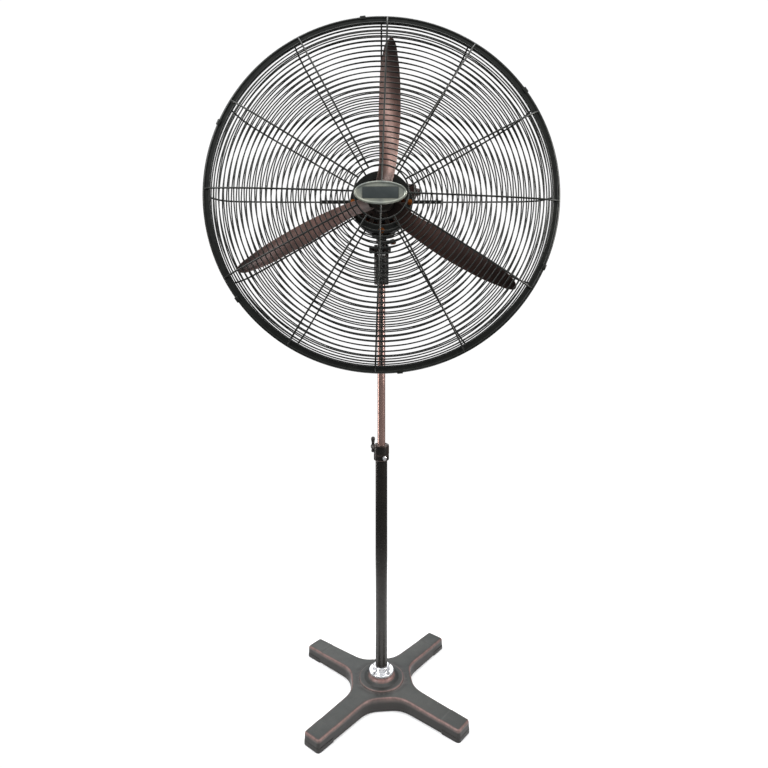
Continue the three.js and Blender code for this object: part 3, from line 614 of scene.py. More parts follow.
def moulded(name, dark, light, rough=(0.42, 0.6), grain=1400.0, strength=0.25, scuff=0.25):
    """Moulded plastic or rubber: a fine grain, faint flow marks and lighter scuffs on the edges."""
    n = Nodes(name)
    flow = n.noise(30.0, 4, 0.6, distortion=0.6)
    base = n.mix(n.remap(flow, 0.3, 0.7), dark, light)
    base = n.mix(n.math("MULTIPLY", n.attribute("edge"), scuff), base, tuple(min(1, x * 2.6 + 0.02) for x in light[:3]) + (1.0,))
    r = n.remap(n.noise(90.0, 4, 0.6), 0.3, 0.7, rough[0], rough[1])
    return n.set(Base_Color=base, Metallic=0.0, Roughness=r, Normal=n.bump(n.noise(grain, 2, 0.5), strength, 0.0002))


def wire_paint(name, dark, light, rub):
    """Gloss dip-coated wire: thin drips and pooling along it, slightly worn in patches."""
    n = Nodes(name)
    pool = n.noise(60.0, 3, 0.55)
    base = n.mix(n.remap(pool, 0.3, 0.7), dark, light)
    base = n.mix(n.math("MULTIPLY", n.remap(n.noise(28.0, 5, 0.7), 0.55, 0.75), 0.35), base, rub)
    r = n.remap(n.noise(110.0, 3, 0.6), 0.3, 0.7, 0.26, 0.42)
    return n.set(Base_Color=base, Metallic=0.35, Roughness=r, Coat_Weight=0.25, Coat_Roughness=0.15,
                 Normal=n.bump(n.noise(420.0, 3, 0.5), 0.12, 0.0003))


M = {}
# On the base the rub colour also paints a sheen and highlight on the upper edge, disc rim and boss, and the darkening
# colour paints shade on the walls and round the disc and boss.
M["bronze"] = rubbed_paint("cast_bronze_paint", srgb(38, 43, 42), srgb(62, 63, 60), srgb(158, 120, 114), metallic=0.35,
                           rough=(0.38, 0.52), peel=700.0, peel_strength=0.2, blotch=6.0, edge_gain=0.7, coat=0.12,
                           darkening_colour=srgb(22, 16, 14), darkening_amount=1.0)
M["tube"] = rubbed_paint("pole_paint", srgb(24, 25, 23), srgb(38, 37, 34), srgb(140, 112, 98), metallic=0.5,
                         rough=(0.22, 0.32), peel=1100.0, peel_strength=0.05, blotch=7.0, edge_gain=0.5, coat=0.3, speck=0.15)
M["inner"] = rubbed_paint("sliding_pole_finish", srgb(196, 158, 148), srgb(208, 172, 162), srgb(230, 206, 196), metallic=0.8,
                          rough=(0.16, 0.24), peel=1100.0, peel_strength=0.02, blotch=9.0, edge_gain=0.6, coat=0.3, speck=0.05, darkening_amount=0.0)
M["dark"] = rubbed_paint("dark_bronze_paint", srgb(26, 25, 24), srgb(44, 41, 38), srgb(140, 98, 80), metallic=0.5,
                         rough=(0.3, 0.46), peel=900.0, peel_strength=0.12, blotch=16.0, edge_gain=0.4, coat=0.2)
M["motor"] = rubbed_paint("motor_paint", srgb(20, 20, 19), srgb(34, 33, 31), srgb(112, 84, 70), metallic=0.45,
                          rough=(0.34, 0.5), peel=800.0, peel_strength=0.16, blotch=14.0, edge_gain=0.6, coat=0.15)
M["wire"] = wire_paint("guard_wire_coat", srgb(22, 24, 21), srgb(34, 36, 32), srgb(62, 58, 52))
M["badge"] = bare_metal("badge_plate", srgb(176, 178, 164), srgb(116, 124, 122), rough=(0.26, 0.38), brushed=(0.08, 1, 3), bump=0.06, metallic=0.5)
M["badge_dark"] = moulded("badge_panel", srgb(40, 46, 47), srgb(56, 62, 62), rough=(0.3, 0.45), scuff=0.3)
M["polished"] = bare_metal("polished_flange", srgb(238, 238, 240), srgb(224, 224, 228), rough=(0.16, 0.26), bump=0.02, metallic=0.8)
M["steel"] = bare_metal("bright_steel", srgb(172, 173, 175), srgb(140, 140, 142), rough=(0.2, 0.36), bump=0.06)
M["copper_bolt"] = bare_metal("copper_bolt", srgb(196, 112, 52), srgb(150, 84, 40), rough=(0.28, 0.42), bump=0.06)
M["winding"] = bare_metal("winding_copper", srgb(142, 80, 50), srgb(106, 58, 38), rough=(0.3, 0.45), brushed=(1, 6, 1), bump=0.3)
M["lamination"] = bare_metal("lamination_stack", srgb(96, 94, 92), srgb(70, 68, 66), rough=(0.45, 0.6), brushed=(0.05, 5, 0.05), bump=0.4)
M["rubber"] = moulded("pad_rubber", srgb(30, 29, 28), srgb(42, 41, 39), rough=(0.7, 0.85), grain=900.0, strength=0.4)
M["plastic"] = moulded("black_plastic", srgb(30, 28, 27), srgb(44, 40, 38), rough=(0.38, 0.55))
M["red_plastic"] = moulded("knob_plastic", srgb(66, 42, 38), srgb(84, 54, 48), rough=(0.36, 0.52))


def blade_finish():
    """Brown bronze sheet: long soft streaks along the blade, painted light that is lighter near the hub and darker
    towards the tips, painted shade where the blade meets its arm, fine flakes, and lighter convex edges.
    """
    n = Nodes("blade_paint")
    o = n.split()
    dz = n.math("SUBTRACT", o[2], HEAD_Z * MM)
    r = n.math("SQRT", n.math("ADD", n.math("MULTIPLY", o[0], o[0]), n.math("MULTIPLY", dz, dz)))
    # painted light: lighter near the hub, darker towards the tips
    painted_light_falloff = n.remap(r, 0.12, 0.37)
    streak = n.noise(16.0, 5, 0.6, distortion=0.8)
    root = n.mix(n.remap(streak, 0.3, 0.7), srgb(116, 86, 78), srgb(88, 66, 60))
    shaded_far = n.mix(n.remap(streak, 0.3, 0.7), srgb(56, 42, 39), srgb(42, 32, 30))
    base = n.mix(painted_light_falloff, root, shaded_far)
    base = n.mix(n.remap(r, 0.04, 0.10), srgb(50, 39, 36), base)          # painted shade, darker where the blade meets its arm
    base = n.mix(n.math("MULTIPLY", n.remap(n.cells(2400.0), 0.28, 0.0), 0.3), base, srgb(190, 150, 132))
    base = n.mix(n.math("MULTIPLY", n.attribute("edge"), 0.5), base, srgb(176, 136, 118))
    rough = n.remap(n.noise(40.0, 4, 0.6), 0.3, 0.7, 0.3, 0.44)
    return n.set(Base_Color=base, Metallic=0.65, Roughness=rough, Coat_Weight=0.2, Coat_Roughness=0.2,
                 Normal=n.bump(n.noise(700.0, 2, 0.5), 0.1, 0.00025))


M["blade"] = blade_finish()

# ------------------------------------------------------------------------ base
def base_outline():
    pts = []
    c, flare, web = 7.0, 115.0, 77.0 * math.sqrt(0.5)

    def bez(p0, p1, p2, p3, n=14):
        return [tuple((1 - t) ** 3 * a + 3 * (1 - t) ** 2 * t * b + 3 * (1 - t) * t * t * c_ + t ** 3 * d
                      for a, b, c_, d in zip(p0, p1, p2, p3)) for t in [i / n for i in range(n)]]
    for k in range(4):
        a = RAD(-135 + 90 * k) + BASE_TURN
        ux, uy = math.cos(a), math.sin(a)

        def at(u, m):
            return (u * ux - m * uy, u * uy + m * ux)
        h = ARM_HALF
        pts += bez(at(web, -web), at(web + 16, -web + 16), at(flare - 34, -h - 0.5), at(flare, -h - 0.5))
        for i in range(12):
            u = flare + (ARM_REACH - c - flare) * i / 12
            pts.append(at(u, -h - 0.5 + 1.5 * i / 12))
        for i in range(7):
            t = RAD(-90 + 90 * i / 6)
            pts.append(at(ARM_REACH - c + c * math.cos(t), -h + 1 + c + c * math.sin(t)))
        for i in range(5):
            pts.append(at(ARM_REACH, -h + 1 + c + (2 * h - 2 - 2 * c) * (i + 0.5) / 5))
        for i in range(7):
            t = RAD(90 * i / 6)
            pts.append(at(ARM_REACH - c + c * math.cos(t), h - 1 - c + c * math.sin(t)))
        for i in range(12):
            u = ARM_REACH - c + (flare - ARM_REACH + c) * (i + 1) / 12
            pts.append(at(u, h - 1 + 1.5 * (i + 1) / 12))
        pts += bez(at(flare, h + 0.5), at(flare - 34, h + 0.5), at(web + 16, web - 16), at(web, web))[1:]
    return pts


def arm_coordinates(x, y):
    """Distance out along the nearer arm, and across it."""
    c, s = math.cos(PI / 4 + BASE_TURN), math.sin(PI / 4 + BASE_TURN)
    a, b = abs(x * c + y * s), abs(-x * s + y * c)
    return (a, b) if a >= b else (b, a)


def base_casting():
    outline = base_outline()
    seg = np.array(outline)
    nxt = np.roll(seg, -1, 0)
    bm = bmesh.new()
    vs = [bm.verts.new((x, y, 0)) for x, y in outline]
    face = bm.faces.new(vs)
    for step in (0.35, 0.5, 0.7, 0.95, 1.2, 1.4):
        bm.faces.ensure_lookup_table()
        face = max(bm.faces, key=lambda f: f.calc_area())
        bmesh.ops.inset_region(bm, faces=[face], thickness=step, use_even_offset=True, use_boundary=True)
    c, s = math.cos(PI / 4 + BASE_TURN), math.sin(PI / 4 + BASE_TURN)
    cuts = [-240 + 8 * i for i in range(61)] + [sgn * u for u in (194, 195.5, 197, 198.5, 200) for sgn in (-1, 1)]
    for nx, ny in ((c, s), (-s, c)):
        for d in cuts:
            geom = bm.verts[:] + bm.edges[:] + bm.faces[:]
            bmesh.ops.bisect_plane(bm, geom=geom, dist=0.05, plane_co=(nx * d, ny * d, 0), plane_no=(nx, ny, 0))
    rim_r = 4.6
    top = list(bm.verts)
    for v in top:
        p = np.array([v.co.x, v.co.y])
        d = nxt - seg
        t = np.clip(((p - seg) * d).sum(1) / np.maximum((d * d).sum(1), 1e-9), 0, 1)
        dist = float(np.sqrt((((seg + d * t[:, None]) - p) ** 2).sum(1).min()))
        u, m = arm_coordinates(v.co.x, v.co.y)
        h = 34.0 - 5.6 * max(0.0, min(1.0, (u - 66) / (ARM_REACH - 66))) ** 0.9
        k = max(0.0, min(1.0, (u - 194.5) / 5.0))                # the foot stands a little proud
        h += 0.9 * k * k * (3 - 2 * k)
        # the middle of the arm is very slightly crowned
        h -= 0.9 * max(0.0, 1 - dist / 22.0) ** 2
        if dist < rim_r:
            h -= rim_r - math.sqrt(max(0.0, rim_r ** 2 - (rim_r - dist) ** 2))
        v.co.z = h
    up = list(bm.faces)
    ext = bmesh.ops.extrude_face_region(bm, geom=up)
    low = [g for g in ext["geom"] if isinstance(g, bmesh.types.BMVert)]
    for v in low:
        # draft: the wall leans out by about a millimetre to its lower edge
        r = math.hypot(v.co.x, v.co.y)
        v.co.x *= 1 + 0.9 / max(r, 60)
        v.co.y *= 1 + 0.9 / max(r, 60)
        v.co.z = 2.4
    for z in (20.0, 14.0, 8.0, 4.4):                  # rows down the wall
        geom = bm.verts[:] + bm.edges[:] + bm.faces[:]
        bmesh.ops.bisect_plane(bm, geom=geom, dist=0.02, plane_co=(0, 0, z), plane_no=(0, 0, 1))
    bmesh.ops.recalc_face_normals(bm, faces=bm.faces[:])
    me = bpy.data.meshes.new("base")
    bm.to_mesh(me)
    bm.free()
    v = np.zeros(len(me.vertices) * 3)
    me.vertices.foreach_get("co", v)
    f = [tuple(p.vertices) for p in me.polygons]
    bpy.data.meshes.remove(me)
    body = raw_object((v.reshape(-1, 3), f))
    bpy.context.view_layer.update()
    # raised disc and flared boss in the middle
    disc = lathe(fillet([(0, 12), (60.5, 12), (60.5, 31.6), (57.6, 33.2), (56.6, 35.9), (49, 36.4), (44, 36.9), (35.5, 40.5), (31.0, 45), (29.6, 50), (0, 50)],
                        [0, 0, 0.5, 1.2, 1.6, 4, 5, 5, 3, 1.4, 0], 5), "Z", 96)
    adds = [disc]
    # stepped feet under the arm ends
    for k in range(4):
        foot = geometry_of(bevelled(prism(fillet([(199, -ARM_HALF - 0.7), (ARM_REACH + 0.9, -ARM_HALF - 0.1), (ARM_REACH + 0.9, ARM_HALF + 0.1), (199, ARM_HALF + 0.7)],
                                                 [3, 8, 8, 3], 6, closed=True), 0.4, 10.5), 1.0, 3, 40))
        adds.append(turned(foot, -135 + 90 * k + 5.4))
    combine(body, adds, "UNION")
    combine(body, [lathe([(0, 11.7), (15.3, 11.7), (15.3, 70), (0, 70)], "Z", 64)], "DIFFERENCE")
    return body


base_ob = piece("base_casting_body", base_casting(), M["bronze"], "base", "base_casting", smooth=50, reach=5.0)


def base_rub_sheen_and_shade(me):
    """Copper on the base: a thin line along the upper edge where hands and feet have rubbed the paint, which also
    serves as a painted sheen, and a painted highlight on the rim of the disc and on the boss. It also writes painted
    shade on the walls and round the disc and boss.
    """
    count = len(me.vertices)
    co = np.zeros(count * 3)
    me.vertices.foreach_get("co", co)
    co = co.reshape(-1, 3) * 1000
    a = np.array(base_outline())
    d = np.roll(a, -1, 0) - a
    l2 = np.maximum((d * d).sum(1), 1e-9)
    dist = np.full(count, 1e9)
    for i in range(len(a)):
        q = co[:, :2] - a[i]
        t = np.clip((q @ d[i]) / l2[i], 0, 1)
        dist = np.minimum(dist, np.linalg.norm(q - t[:, None] * d[i], axis=1))
    r = np.hypot(co[:, 0], co[:, 1])
    z = co[:, 2]
    # rubbed paint along the upper edge, also standing in for a painted sheen
    w = np.where(z > 21, np.exp(-((dist - 1.8) / 1.7) ** 2), 0.0)
    w = np.where((z > 23.5) & (dist < 0.3), 0.35, w)
    # painted highlight on the disc rim and the boss, strongest at the front-right and faintest at the back-left
    front_highlight = 0.55 - 0.45 * np.sin(np.arctan2(co[:, 1], co[:, 0]) - 0.5)
    w = np.where((r > 54) & (r < 61) & (z > 33.4), 0.75 * front_highlight * np.exp(-((z - 35.6) / 1.4) ** 2), w)
    w = np.where((r < 36) & (z > 38.5), 1.5 * front_highlight * np.exp(-((z - 46.0) / 4.5) ** 2), w)
    me.attributes["edge"].data.foreach_set("value", w.astype(np.float32))
    # painted shade: the walls are browner and darker than the top, and it is darker round the foot of the disc and of
    # the boss
    low = np.where((z < 23) & (dist < 1.6), 0.8, 0.0)
    low = np.where((r > 60.5) & (r < 66) & (z < 35), 0.5, low)
    low = np.where((r > 38) & (r < 50) & (z < 39.5), 0.4, low)
    me.attributes["darkening"].data.foreach_set("value", low.astype(np.float32))


base_rub_sheen_and_shade(base_ob.data)

for k, name in enumerate(("foot_pad_front_left", "foot_pad_front_right", "foot_pad_rear_right", "foot_pad_rear_left")):
    pad = prism(rounded_rect(ARM_REACH - 44, ARM_REACH - 4, -18.5, 18.5, 5), 0, 3.2)
    ridge = [prism(rounded_rect(ARM_REACH - 40 + 8 * i, ARM_REACH - 36 + 8 * i, -15, 15, 1.5), 0, 0.9) for i in range(4)]
    pad_ob = bevelled(shifted(pad, 0, 0, 0.0), 0.6, 2)
    piece(name + "_rubber", turned(geometry_of(pad_ob), -135 + 90 * k + 5.4), M["rubber"], "base", name)

# pole flange with its hub, and four round-headed screws with a cross slot
flange = lathe(fillet([(15.2, 50.3), (31, 50.3), (31, 54.2), (30, 55), (21, 55.4), (19.6, 57.2), (19.6, 65.4), (18.2, 67), (15.2, 67), (15.2, 50.3)],
                      [0, 0.4, 0.8, 1.2, 1.4, 1.2, 1.6, 1.0, 0.3, 0], 4), "Z", 96)
piece("pole_flange_plate", flange, M["polished"], "base", "pole_flange", smooth=50, reach=1.2)


def cross_screw(r, z0, z1, slot_w=0.9):
    head = raw_object(outward(socket_screw(r, z0, z1)))
    w = r * 0.62
    return combine(head, [block(-w, w, -slot_w / 2, slot_w / 2, z1 - 0.9, z1 + 2), block(-slot_w / 2, slot_w / 2, -w, w, z1 - 0.9, z1 + 2)], "DIFFERENCE")


for k in range(4):
    a = RAD(45 + 90 * k)
    x, y = 25.5 * math.cos(a), 25.5 * math.sin(a)
    shape = together(geometry_of(cross_screw(3.9, 55.35, 58.0)), lathe([(0, 44), (1.9, 44), (1.9, 56), (0, 56)], "Z", 16),
                     lathe(fillet([(2.0, 55.05), (4.7, 55.05), (4.7, 55.45), (2.0, 55.45), (2.0, 55.05)], 0.15, 2), "Z", 32))
    shape = shifted(turned(shape, 20 + 37 * k), x, y)
    piece(f"flange_screw_{k + 1}_head", shape, M["steel"], "base", f"flange_screw_{k + 1}", reach=0.6)

# ------------------------------------------------------------------------ pole
piece("outer_tube_pole", lathe(fillet([(13, outer_lo[2]), (15, outer_lo[2]), (15, outer_hi[2]), (13, outer_hi[2]), (13, outer_lo[2])], 0.5, 3), "Z", 72),
      M["tube"], "base", "outer_tube", smooth=50, reach=0.8)
piece("inner_tube_pole", lathe(fillet([(8, inner_lo[2]), (10, inner_lo[2]), (10, inner_hi[2]), (8, inner_hi[2]), (8, inner_lo[2])], 0.4, 3), "Z", 64),
      M["inner"], "column", "inner_tube", smooth=50, reach=0.8)


def height_clamp():
    a, b = RAD(125), RAD(-66)
    body = lathe(fillet([(0, 590), (18.0, 590), (19.4, 591.6), (19.4, 603.6), (18.9, 604.3), (18.9, 605.3), (19.4, 606.0), (19.4, 628.0), (17.2, 630.4), (14.6, 630.4), (12.6, 628.0), (0, 628.0)],
                        [0, 1, 1, 0.4, 0.3, 0.3, 0.4, 1.6, 1.2, 1.0, 0.8, 0], 4), "Z", 96)
    lock = aimed(lathe(fillet([(0, 8), (9.3, 8), (9.3, 19), (8.5, 20), (8.5, 25.2), (7.6, 26.2), (0, 26.2)], [0, 0, 1, 0.8, 0.9, 0.7, 0], 3), "Z", 48), (0, 0, LOCK_Z), (math.cos(a), math.sin(a), 0))
    boss = aimed(lathe(fillet([(0, 10), (5.6, 10), (5.0, 19.7), (0, 19.7)], [0, 0, 0.8, 0], 3), "Z", 40), (0, 0, 598.5), (math.cos(b), math.sin(b), 0))
    rib = block(-2.6, 2.6, -21, -17, 608, 627)
    cutters = [lathe([(0, 580), (15.25, 580), (15.25, 606.3), (0, 606.3)], "Z", 64),
               lathe([(0, 600), (10.35, 600), (10.35, 640), (0, 640)], "Z", 64),
               aimed(lathe([(0, 0), (4.3, 0), (4.3, 40), (0, 40)], "Z", 24), (0, 0, LOCK_Z), (math.cos(a), math.sin(a), 0)),
               aimed(lathe([(0, 14), (3.2, 14), (3.2, 40), (0, 40)], "Z", 24), (0, 0, 598.5), (math.cos(b), math.sin(b), 0))]
    return cast([body, lock, boss, turned(rib, 62)], 0.75, 3, cutters)


piece("clamp_collar_body", height_clamp(), M["dark"], "base", "clamp_collar", smooth=50, reach=2.0)

b = RAD(-66)
screw = together(hex_head(4.5, 19.8, 23.3, 0.5), lathe([(0, 15.6), (2.9, 15.6), (2.9, 20.5), (0, 20.5)], "Z", 20),
                 lathe(fillet([(3.0, 19.72), (5.3, 19.72), (5.3, 20.2), (3.0, 20.2), (3.0, 19.72)], 0.2, 2), "Z", 40))
piece("collar_screw_hex", aimed(screw, (0, 0, 598.5), (math.cos(b), math.sin(b), 0)), M["polished"], "base", "collar_screw", smooth=30, reach=0.8)


def lock_handle():
    """T handle of the height lock: a threaded stem, a turned hub and a cross bar with rounded ends."""
    stem = [(0, 10.6), (3.2, 10.6)]
    z = 11.2
    while z < 25:
        stem += [(3.85, z), (3.3, z + 0.6)]
        z += 1.2
    stem += [(3.9, 26.0), (3.9, 28), (0, 28)]
    hub = fillet([(0, 27.6), (6.0, 27.6), (6.6, 29), (6.6, 31), (5.4, 33), (6.4, 35), (6.4, 40), (5.0, 41.4), (0, 41.8)], [0, 0.8, 0.8, 1, 1.2, 1, 1.4, 1.5, 0], 4)
    bar = [(0, -15.4), (2.6, -15.1), (4.2, -14), (4.6, -12), (4.2, -9), (3.7, -5), (3.9, 0), (3.7, 6), (4.0, 11), (4.8, 15.5), (5.4, 19.5), (4.9, 22.8), (3.0, 24.9), (0, 25.4)]
    d = (math.cos(RAD(125)), math.sin(RAD(125)), 0)
    return together(aimed(lathe(stem, "Z", 28), (0, 0, LOCK_Z), d), aimed(lathe(hub, "Z", 48), (0, 0, LOCK_Z), d),
                    shifted(lathe(fillet(bar, 2.0, 4), "Z", 40), 38 * d[0], 38 * d[1], LOCK_Z))


piece("height_lock_tee", lock_handle(), M["plastic"], "height_lock", "height_lock_handle", reach=2.0)


# ------------------------------------------------------------------------ neck
def fork():
    ear = [(-13, 1109), (13, 1109)] + circle(0, TILT_Z, 13, 25, 0, PI)
    body = lathe(fillet([(0, 1038), (17.0, 1038), (18.5, 1040), (18.5, 1057), (17.4, 1058.5), (17.4, 1062), (18.5, 1063.5), (18.5, 1113), (0, 1113)],
                        [0, 1.2, 1.2, 0.8, 0.8, 0.8, 0.8, 1.5, 0], 4), "Z", 72)
    parts = [body, prism(ear, 9.5, 18.5, "YZ"), prism(ear, -18.5, -9.5, "YZ")]
    for x in (18.5, -18.5):
        parts.append(shifted(lathe([(0, -0.6), (8.6, -0.6), (8.6, 0.6), (0, 0.6)], "X", 40), x, 0, TILT_Z))
    # set screw boss at the back of the socket
    parts.append(aimed(lathe([(0, 10), (6.4, 10), (5.8, 20.6), (0, 20.6)], "Z", 32), (0, 0, 1050), (0.35, 1, 0)))
    cutters = [lathe([(0, 1030), (10.2, 1030), (10.2, 1070.3), (0, 1070.3)], "Z", 48),
               lathe([(0, -30), (4.3, -30), (4.3, 30), (0, 30)], "X", 32, at=(0, 0, TILT_Z))]
    return cast(parts, 0.75, 3, cutters)


piece("neck_fork_casting", fork(), M["dark"], "column", "neck_fork", smooth=50, reach=2.0)

set_screw = together(hex_head(5.0, 20.8, 24.4, 0.4), lathe([(0, 15), (2.6, 15), (2.6, 21), (0, 21)], "Z", 16))
piece("neck_set_screw", aimed(set_screw, (0, 0, 1050), (0.35, 1, 0)), M["steel"], "column", smooth=30, reach=0.8)

bolt_rod = lathe(fillet([(0, -27), (3.4, -27), (4, -26.2), (4, 20), (0, 20)], [0, 0.4, 0.4, 0, 0], 2), "X", 32, at=(0, 0, TILT_Z))
bolt_head = moved(hex_head(7.2, 0, 4.6, 0.6), Matrix.Translation((19.5, 0, TILT_Z)) @ Matrix.Rotation(RAD(90), 4, "Y"))
bolt_washer = lathe(fillet([(4.1, 19.16), (9.0, 19.16), (9.0, 19.8), (4.1, 19.8), (4.1, 19.16)], 0.2, 2), "X", 40, at=(0, 0, TILT_Z))
piece("tilt_bolt_hex", together(bolt_rod, bolt_head, bolt_washer), M["steel"], "column", "tilt_bolt", smooth=30, reach=0.8)


def lobed_knob():
    prof = fillet([(0, -31.4), (6.0, -31.4), (9.4, -30.2), (10, -28.5), (10, -23.2), (8.6, -21.8), (6.2, -21.3), (6.2, -19.3), (4.35, -19.3), (4.35, -29.4), (0, -29.4)],
                  [0, 1.5, 1.5, 1.2, 1.2, 1, 0.6, 0.4, 0, 0, 0], 4)

    def lobes(a, r, h):
        return r * (0.93 + 0.085 * math.cos(6 * a)) if r > 6.5 else r
    return lathe(prof, "X", 96, at=(0, 0, TILT_Z), wave=lobes)


piece("tilt_lock_knob_grip", lobed_knob(), M["plastic"], "tilt_lock", "tilt_lock_knob", reach=1.6)


def neck_block():
    tongue = circle(0, TILT_Z, 12.5, 25, PI, 2 * PI) + [(12.5, 1144), (-12.5, 1144)]
    deck = circle(0, 0, 15, 30, RAD(60), RAD(300)) + [(30, -8)] + circle(30, 0, 8, 14, RAD(-90), RAD(90))
    parts = [prism(tongue, -9.2, 9.2, "YZ"), prism(deck, 1143, 1147.5, "XY"),
             prism([(9, 1138.5), (26, 1144), (9, 1144)], -4, 4, "XZ")]
    cutters = [lathe([(0, -30), (4.3, -30), (4.3, 30), (0, 30)], "X", 32, at=(0, 0, TILT_Z)),
               lathe([(0, 1134), (6.2, 1134), (6.2, 1160), (0, 1160)], "Z", 40),
               lathe([(0, 1130), (3.2, 1130), (3.2, 1160), (0, 1160)], "Z", 32, at=(30, 0, 0))]
    return cast(parts, 0.7, 3, cutters)


piece("neck_block_casting", neck_block(), M["dark"], "neck", "neck_block", smooth=50, reach=2.0)
piece("swing_spindle_pin", lathe(fillet([(0, 1134.4), (5.4, 1134.4), (6, 1135), (6, 1159.6), (5.2, 1160.5), (0, 1160.5)], 0.4, 2), "Z", 40), M["steel"], "neck", "swing_spindle", reach=0.8)
anchor = together(lathe(fillet([(0, 1141.0), (5.2, 1141.0), (5.2, 1142.9), (3, 1142.9), (3, 1153.9), (2.2, 1155), (0, 1155)], [0, 0.5, 0.3, 0.2, 0.6, 0.6, 0], 3), "Z", 32),
                  lathe(fillet([(3.0, 1153.2), (4.4, 1153.2), (4.4, 1154.0), (3.0, 1154.0), (3.0, 1153.2)], 0.15, 2), "Z", 28))
piece("link_anchor_rivet", shifted(anchor, 30, 0, 0), M["copper_bolt"], "neck", "link_anchor_pin", smooth=40, reach=0.8)


def link_bar():
    outline = circle(30, 0, 8.5, 30, RAD(-212), RAD(32)) + [(34.2, 14), (34.2, 76)] + circle(30, 86, 7, 26, RAD(-48), RAD(228)) + [(25.8, 76), (25.8, 14)]
    bar = raw_object(outward(prism(outline, 1149.0, 1153.0)))
    bevelled(bar, 0.7, 3)
    return combine(bar, [lathe([(0, 1140), (4.8, 1140), (4.8, 1160), (0, 1160)], "Z", 40, at=(30, 0, 0)),
                         lathe([(0, 1140), (3.25, 1140), (3.25, 1160), (0, 1160)], "Z", 32, at=(30, 86, 0)),
                         prism(rounded_rect(28.4, 31.6, 26, 62, 1.6), 1151.9, 1156)], "DIFFERENCE")


piece("oscillation_link_bar", link_bar(), M["steel"], "link", "oscillation_link", reach=0.8)


def crank():
    arm = circle(4, 86, 10, 30, RAD(75), RAD(285)) + [(30, 79)] + circle(30, 86, 7, 24, RAD(-90), RAD(90)) + [(30, 93)]
    arm_ob = bevelled(prism(arm, 1154.0, 1158.5), 0.8, 3)
    teeth = 36

    def toothed(a, r, h):
        return r - (0.9 + 0.9 * math.tanh(4 * math.cos(teeth * a))) if r > 20 else r
    gear = lathe([(0, 1223), (22.5, 1223), (23, 1223.5), (23, 1230.0), (22.5, 1230.5), (0, 1230.5)], "Z", 216, at=(4, 86, 0), wave=toothed)
    shaft = lathe(fillet([(0, 1155), (5, 1155), (5, 1228), (0, 1228)], 0, 1), "Z", 40, at=(4, 86, 0))
    pin = lathe(fillet([(0, 1147.4), (4.9, 1147.4), (4.9, 1148.7), (3, 1148.7), (3, 1159.4), (2.2, 1160.2), (0, 1160.2)], [0, 0.4, 0.3, 0.2, 0.5, 0.5, 0], 3), "Z", 32, at=(30, 86, 0))
    nut = shifted(moved(hex_head(8.0, 0, 4.2, 0.4), Matrix.Rotation(PI, 4, "X")), 4, 86, 1154.0)
    return together(geometry_of(arm_ob), gear, shaft, pin, nut)


piece("crank_gear_arm", crank(), M["steel"], "crank", "crank_gear", smooth=36, reach=0.8)


# ----------------------------------------------------------------- motor, head
def around(deg, r):
    return r * math.cos(RAD(deg)), HEAD_Z + r * math.sin(RAD(deg))


AX = (0, 0, HEAD_Z)


def motor_shell():
    def ribs(a, r, h):
        # shallow cooling ribs along the upper and side walls
        if r < 73 or h < -40 or h > 31:
            return r
        c = math.cos(48 * a)
        return r - 1.5 + 1.5 * max(0.0, min(1.0, 0.5 + 1.6 * c))
    prof = [(71.5, -48), (74.6, -48), (75, -47.5), (75, -41), (75, -39.4)] + [(75, -38 + 3.4 * i) for i in range(21)] + [(75, 31.5), (75, 33.2), (75, 37.4), (74.5, 38), (71.5, 38), (71.5, -48)]
    return lathe(prof, "Y", 384, at=AX, wave=ribs)


piece("motor_shell_ribbed", motor_shell(), M["motor"], "head", "motor_shell", smooth=34, reach=1.6)


def vented_disc(rings, y_of, slots, slot_rows, thickness, seg=96, at=AX):
    """A pressed cover with radial air slots: a surface of revolution in which cells are left out, then thickened."""
    verts, faces = [], []
    n = len(rings)
    for r, y in rings:
        for k in range(seg):
            a = 2 * PI * k / seg
            verts.append((r * math.cos(a), y, r * math.sin(a)))
    per = seg // slots
    for i in range(n - 1):
        for k in range(seg):
            if i in slot_rows and (k % per) < per // 2:
                continue
            j = (k + 1) % seg
            faces.append((i * seg + k, i * seg + j, (i + 1) * seg + j, (i + 1) * seg + k))
    ob = raw_object((np.array(verts, float) + np.array(at, float), faces))
    m = ob.modifiers.new("solid", "SOLIDIFY")
    m.thickness = thickness * MM
    m.offset = 0
    m.use_even_offset = True
    settle(ob)
    return bevelled(ob, 0.45, 2, 40)


front_rings = [(10.5, -53), (13, -58.6), (19, -59.2), (26, -58.8), (31, -57.6), (36, -57.0), (44, -57.0), (52, -57.0), (58, -57.2), (63, -58.0), (66.5, -58.0), (70.4, -57.6), (73.2, -56.0), (73.9, -52.5), (73.9, -49.2)]
front_cover = geometry_of(vented_disc(front_rings, None, 16, (5, 6, 7), 2.0))
bosses = []
for k in range(4):
    x, z = around(90 * k, 68.6)
    bosses.append(lathe(fillet([(0, -60.4), (5.4, -60.4), (6.2, -59.6), (6.2, -49), (0, -49)], [0, 0.8, 0.8, 0, 0], 3), "Y", 32, at=(x, 0, z)))
seat = lathe(fillet([(9.6, -60.6), (17, -60.6), (20, -58.6), (20, -42.5), (16.2, -42.5), (16.2, -54), (9.6, -54), (9.6, -60.6)], [0, 1, 1.2, 0.5, 0, 0, 0.4, 0], 4), "Y", 64, at=AX)
piece("motor_front_cover_vented", together(front_cover, seat, *bosses), M["motor"], "head", "motor_front_cover", smooth=36, reach=1.6)

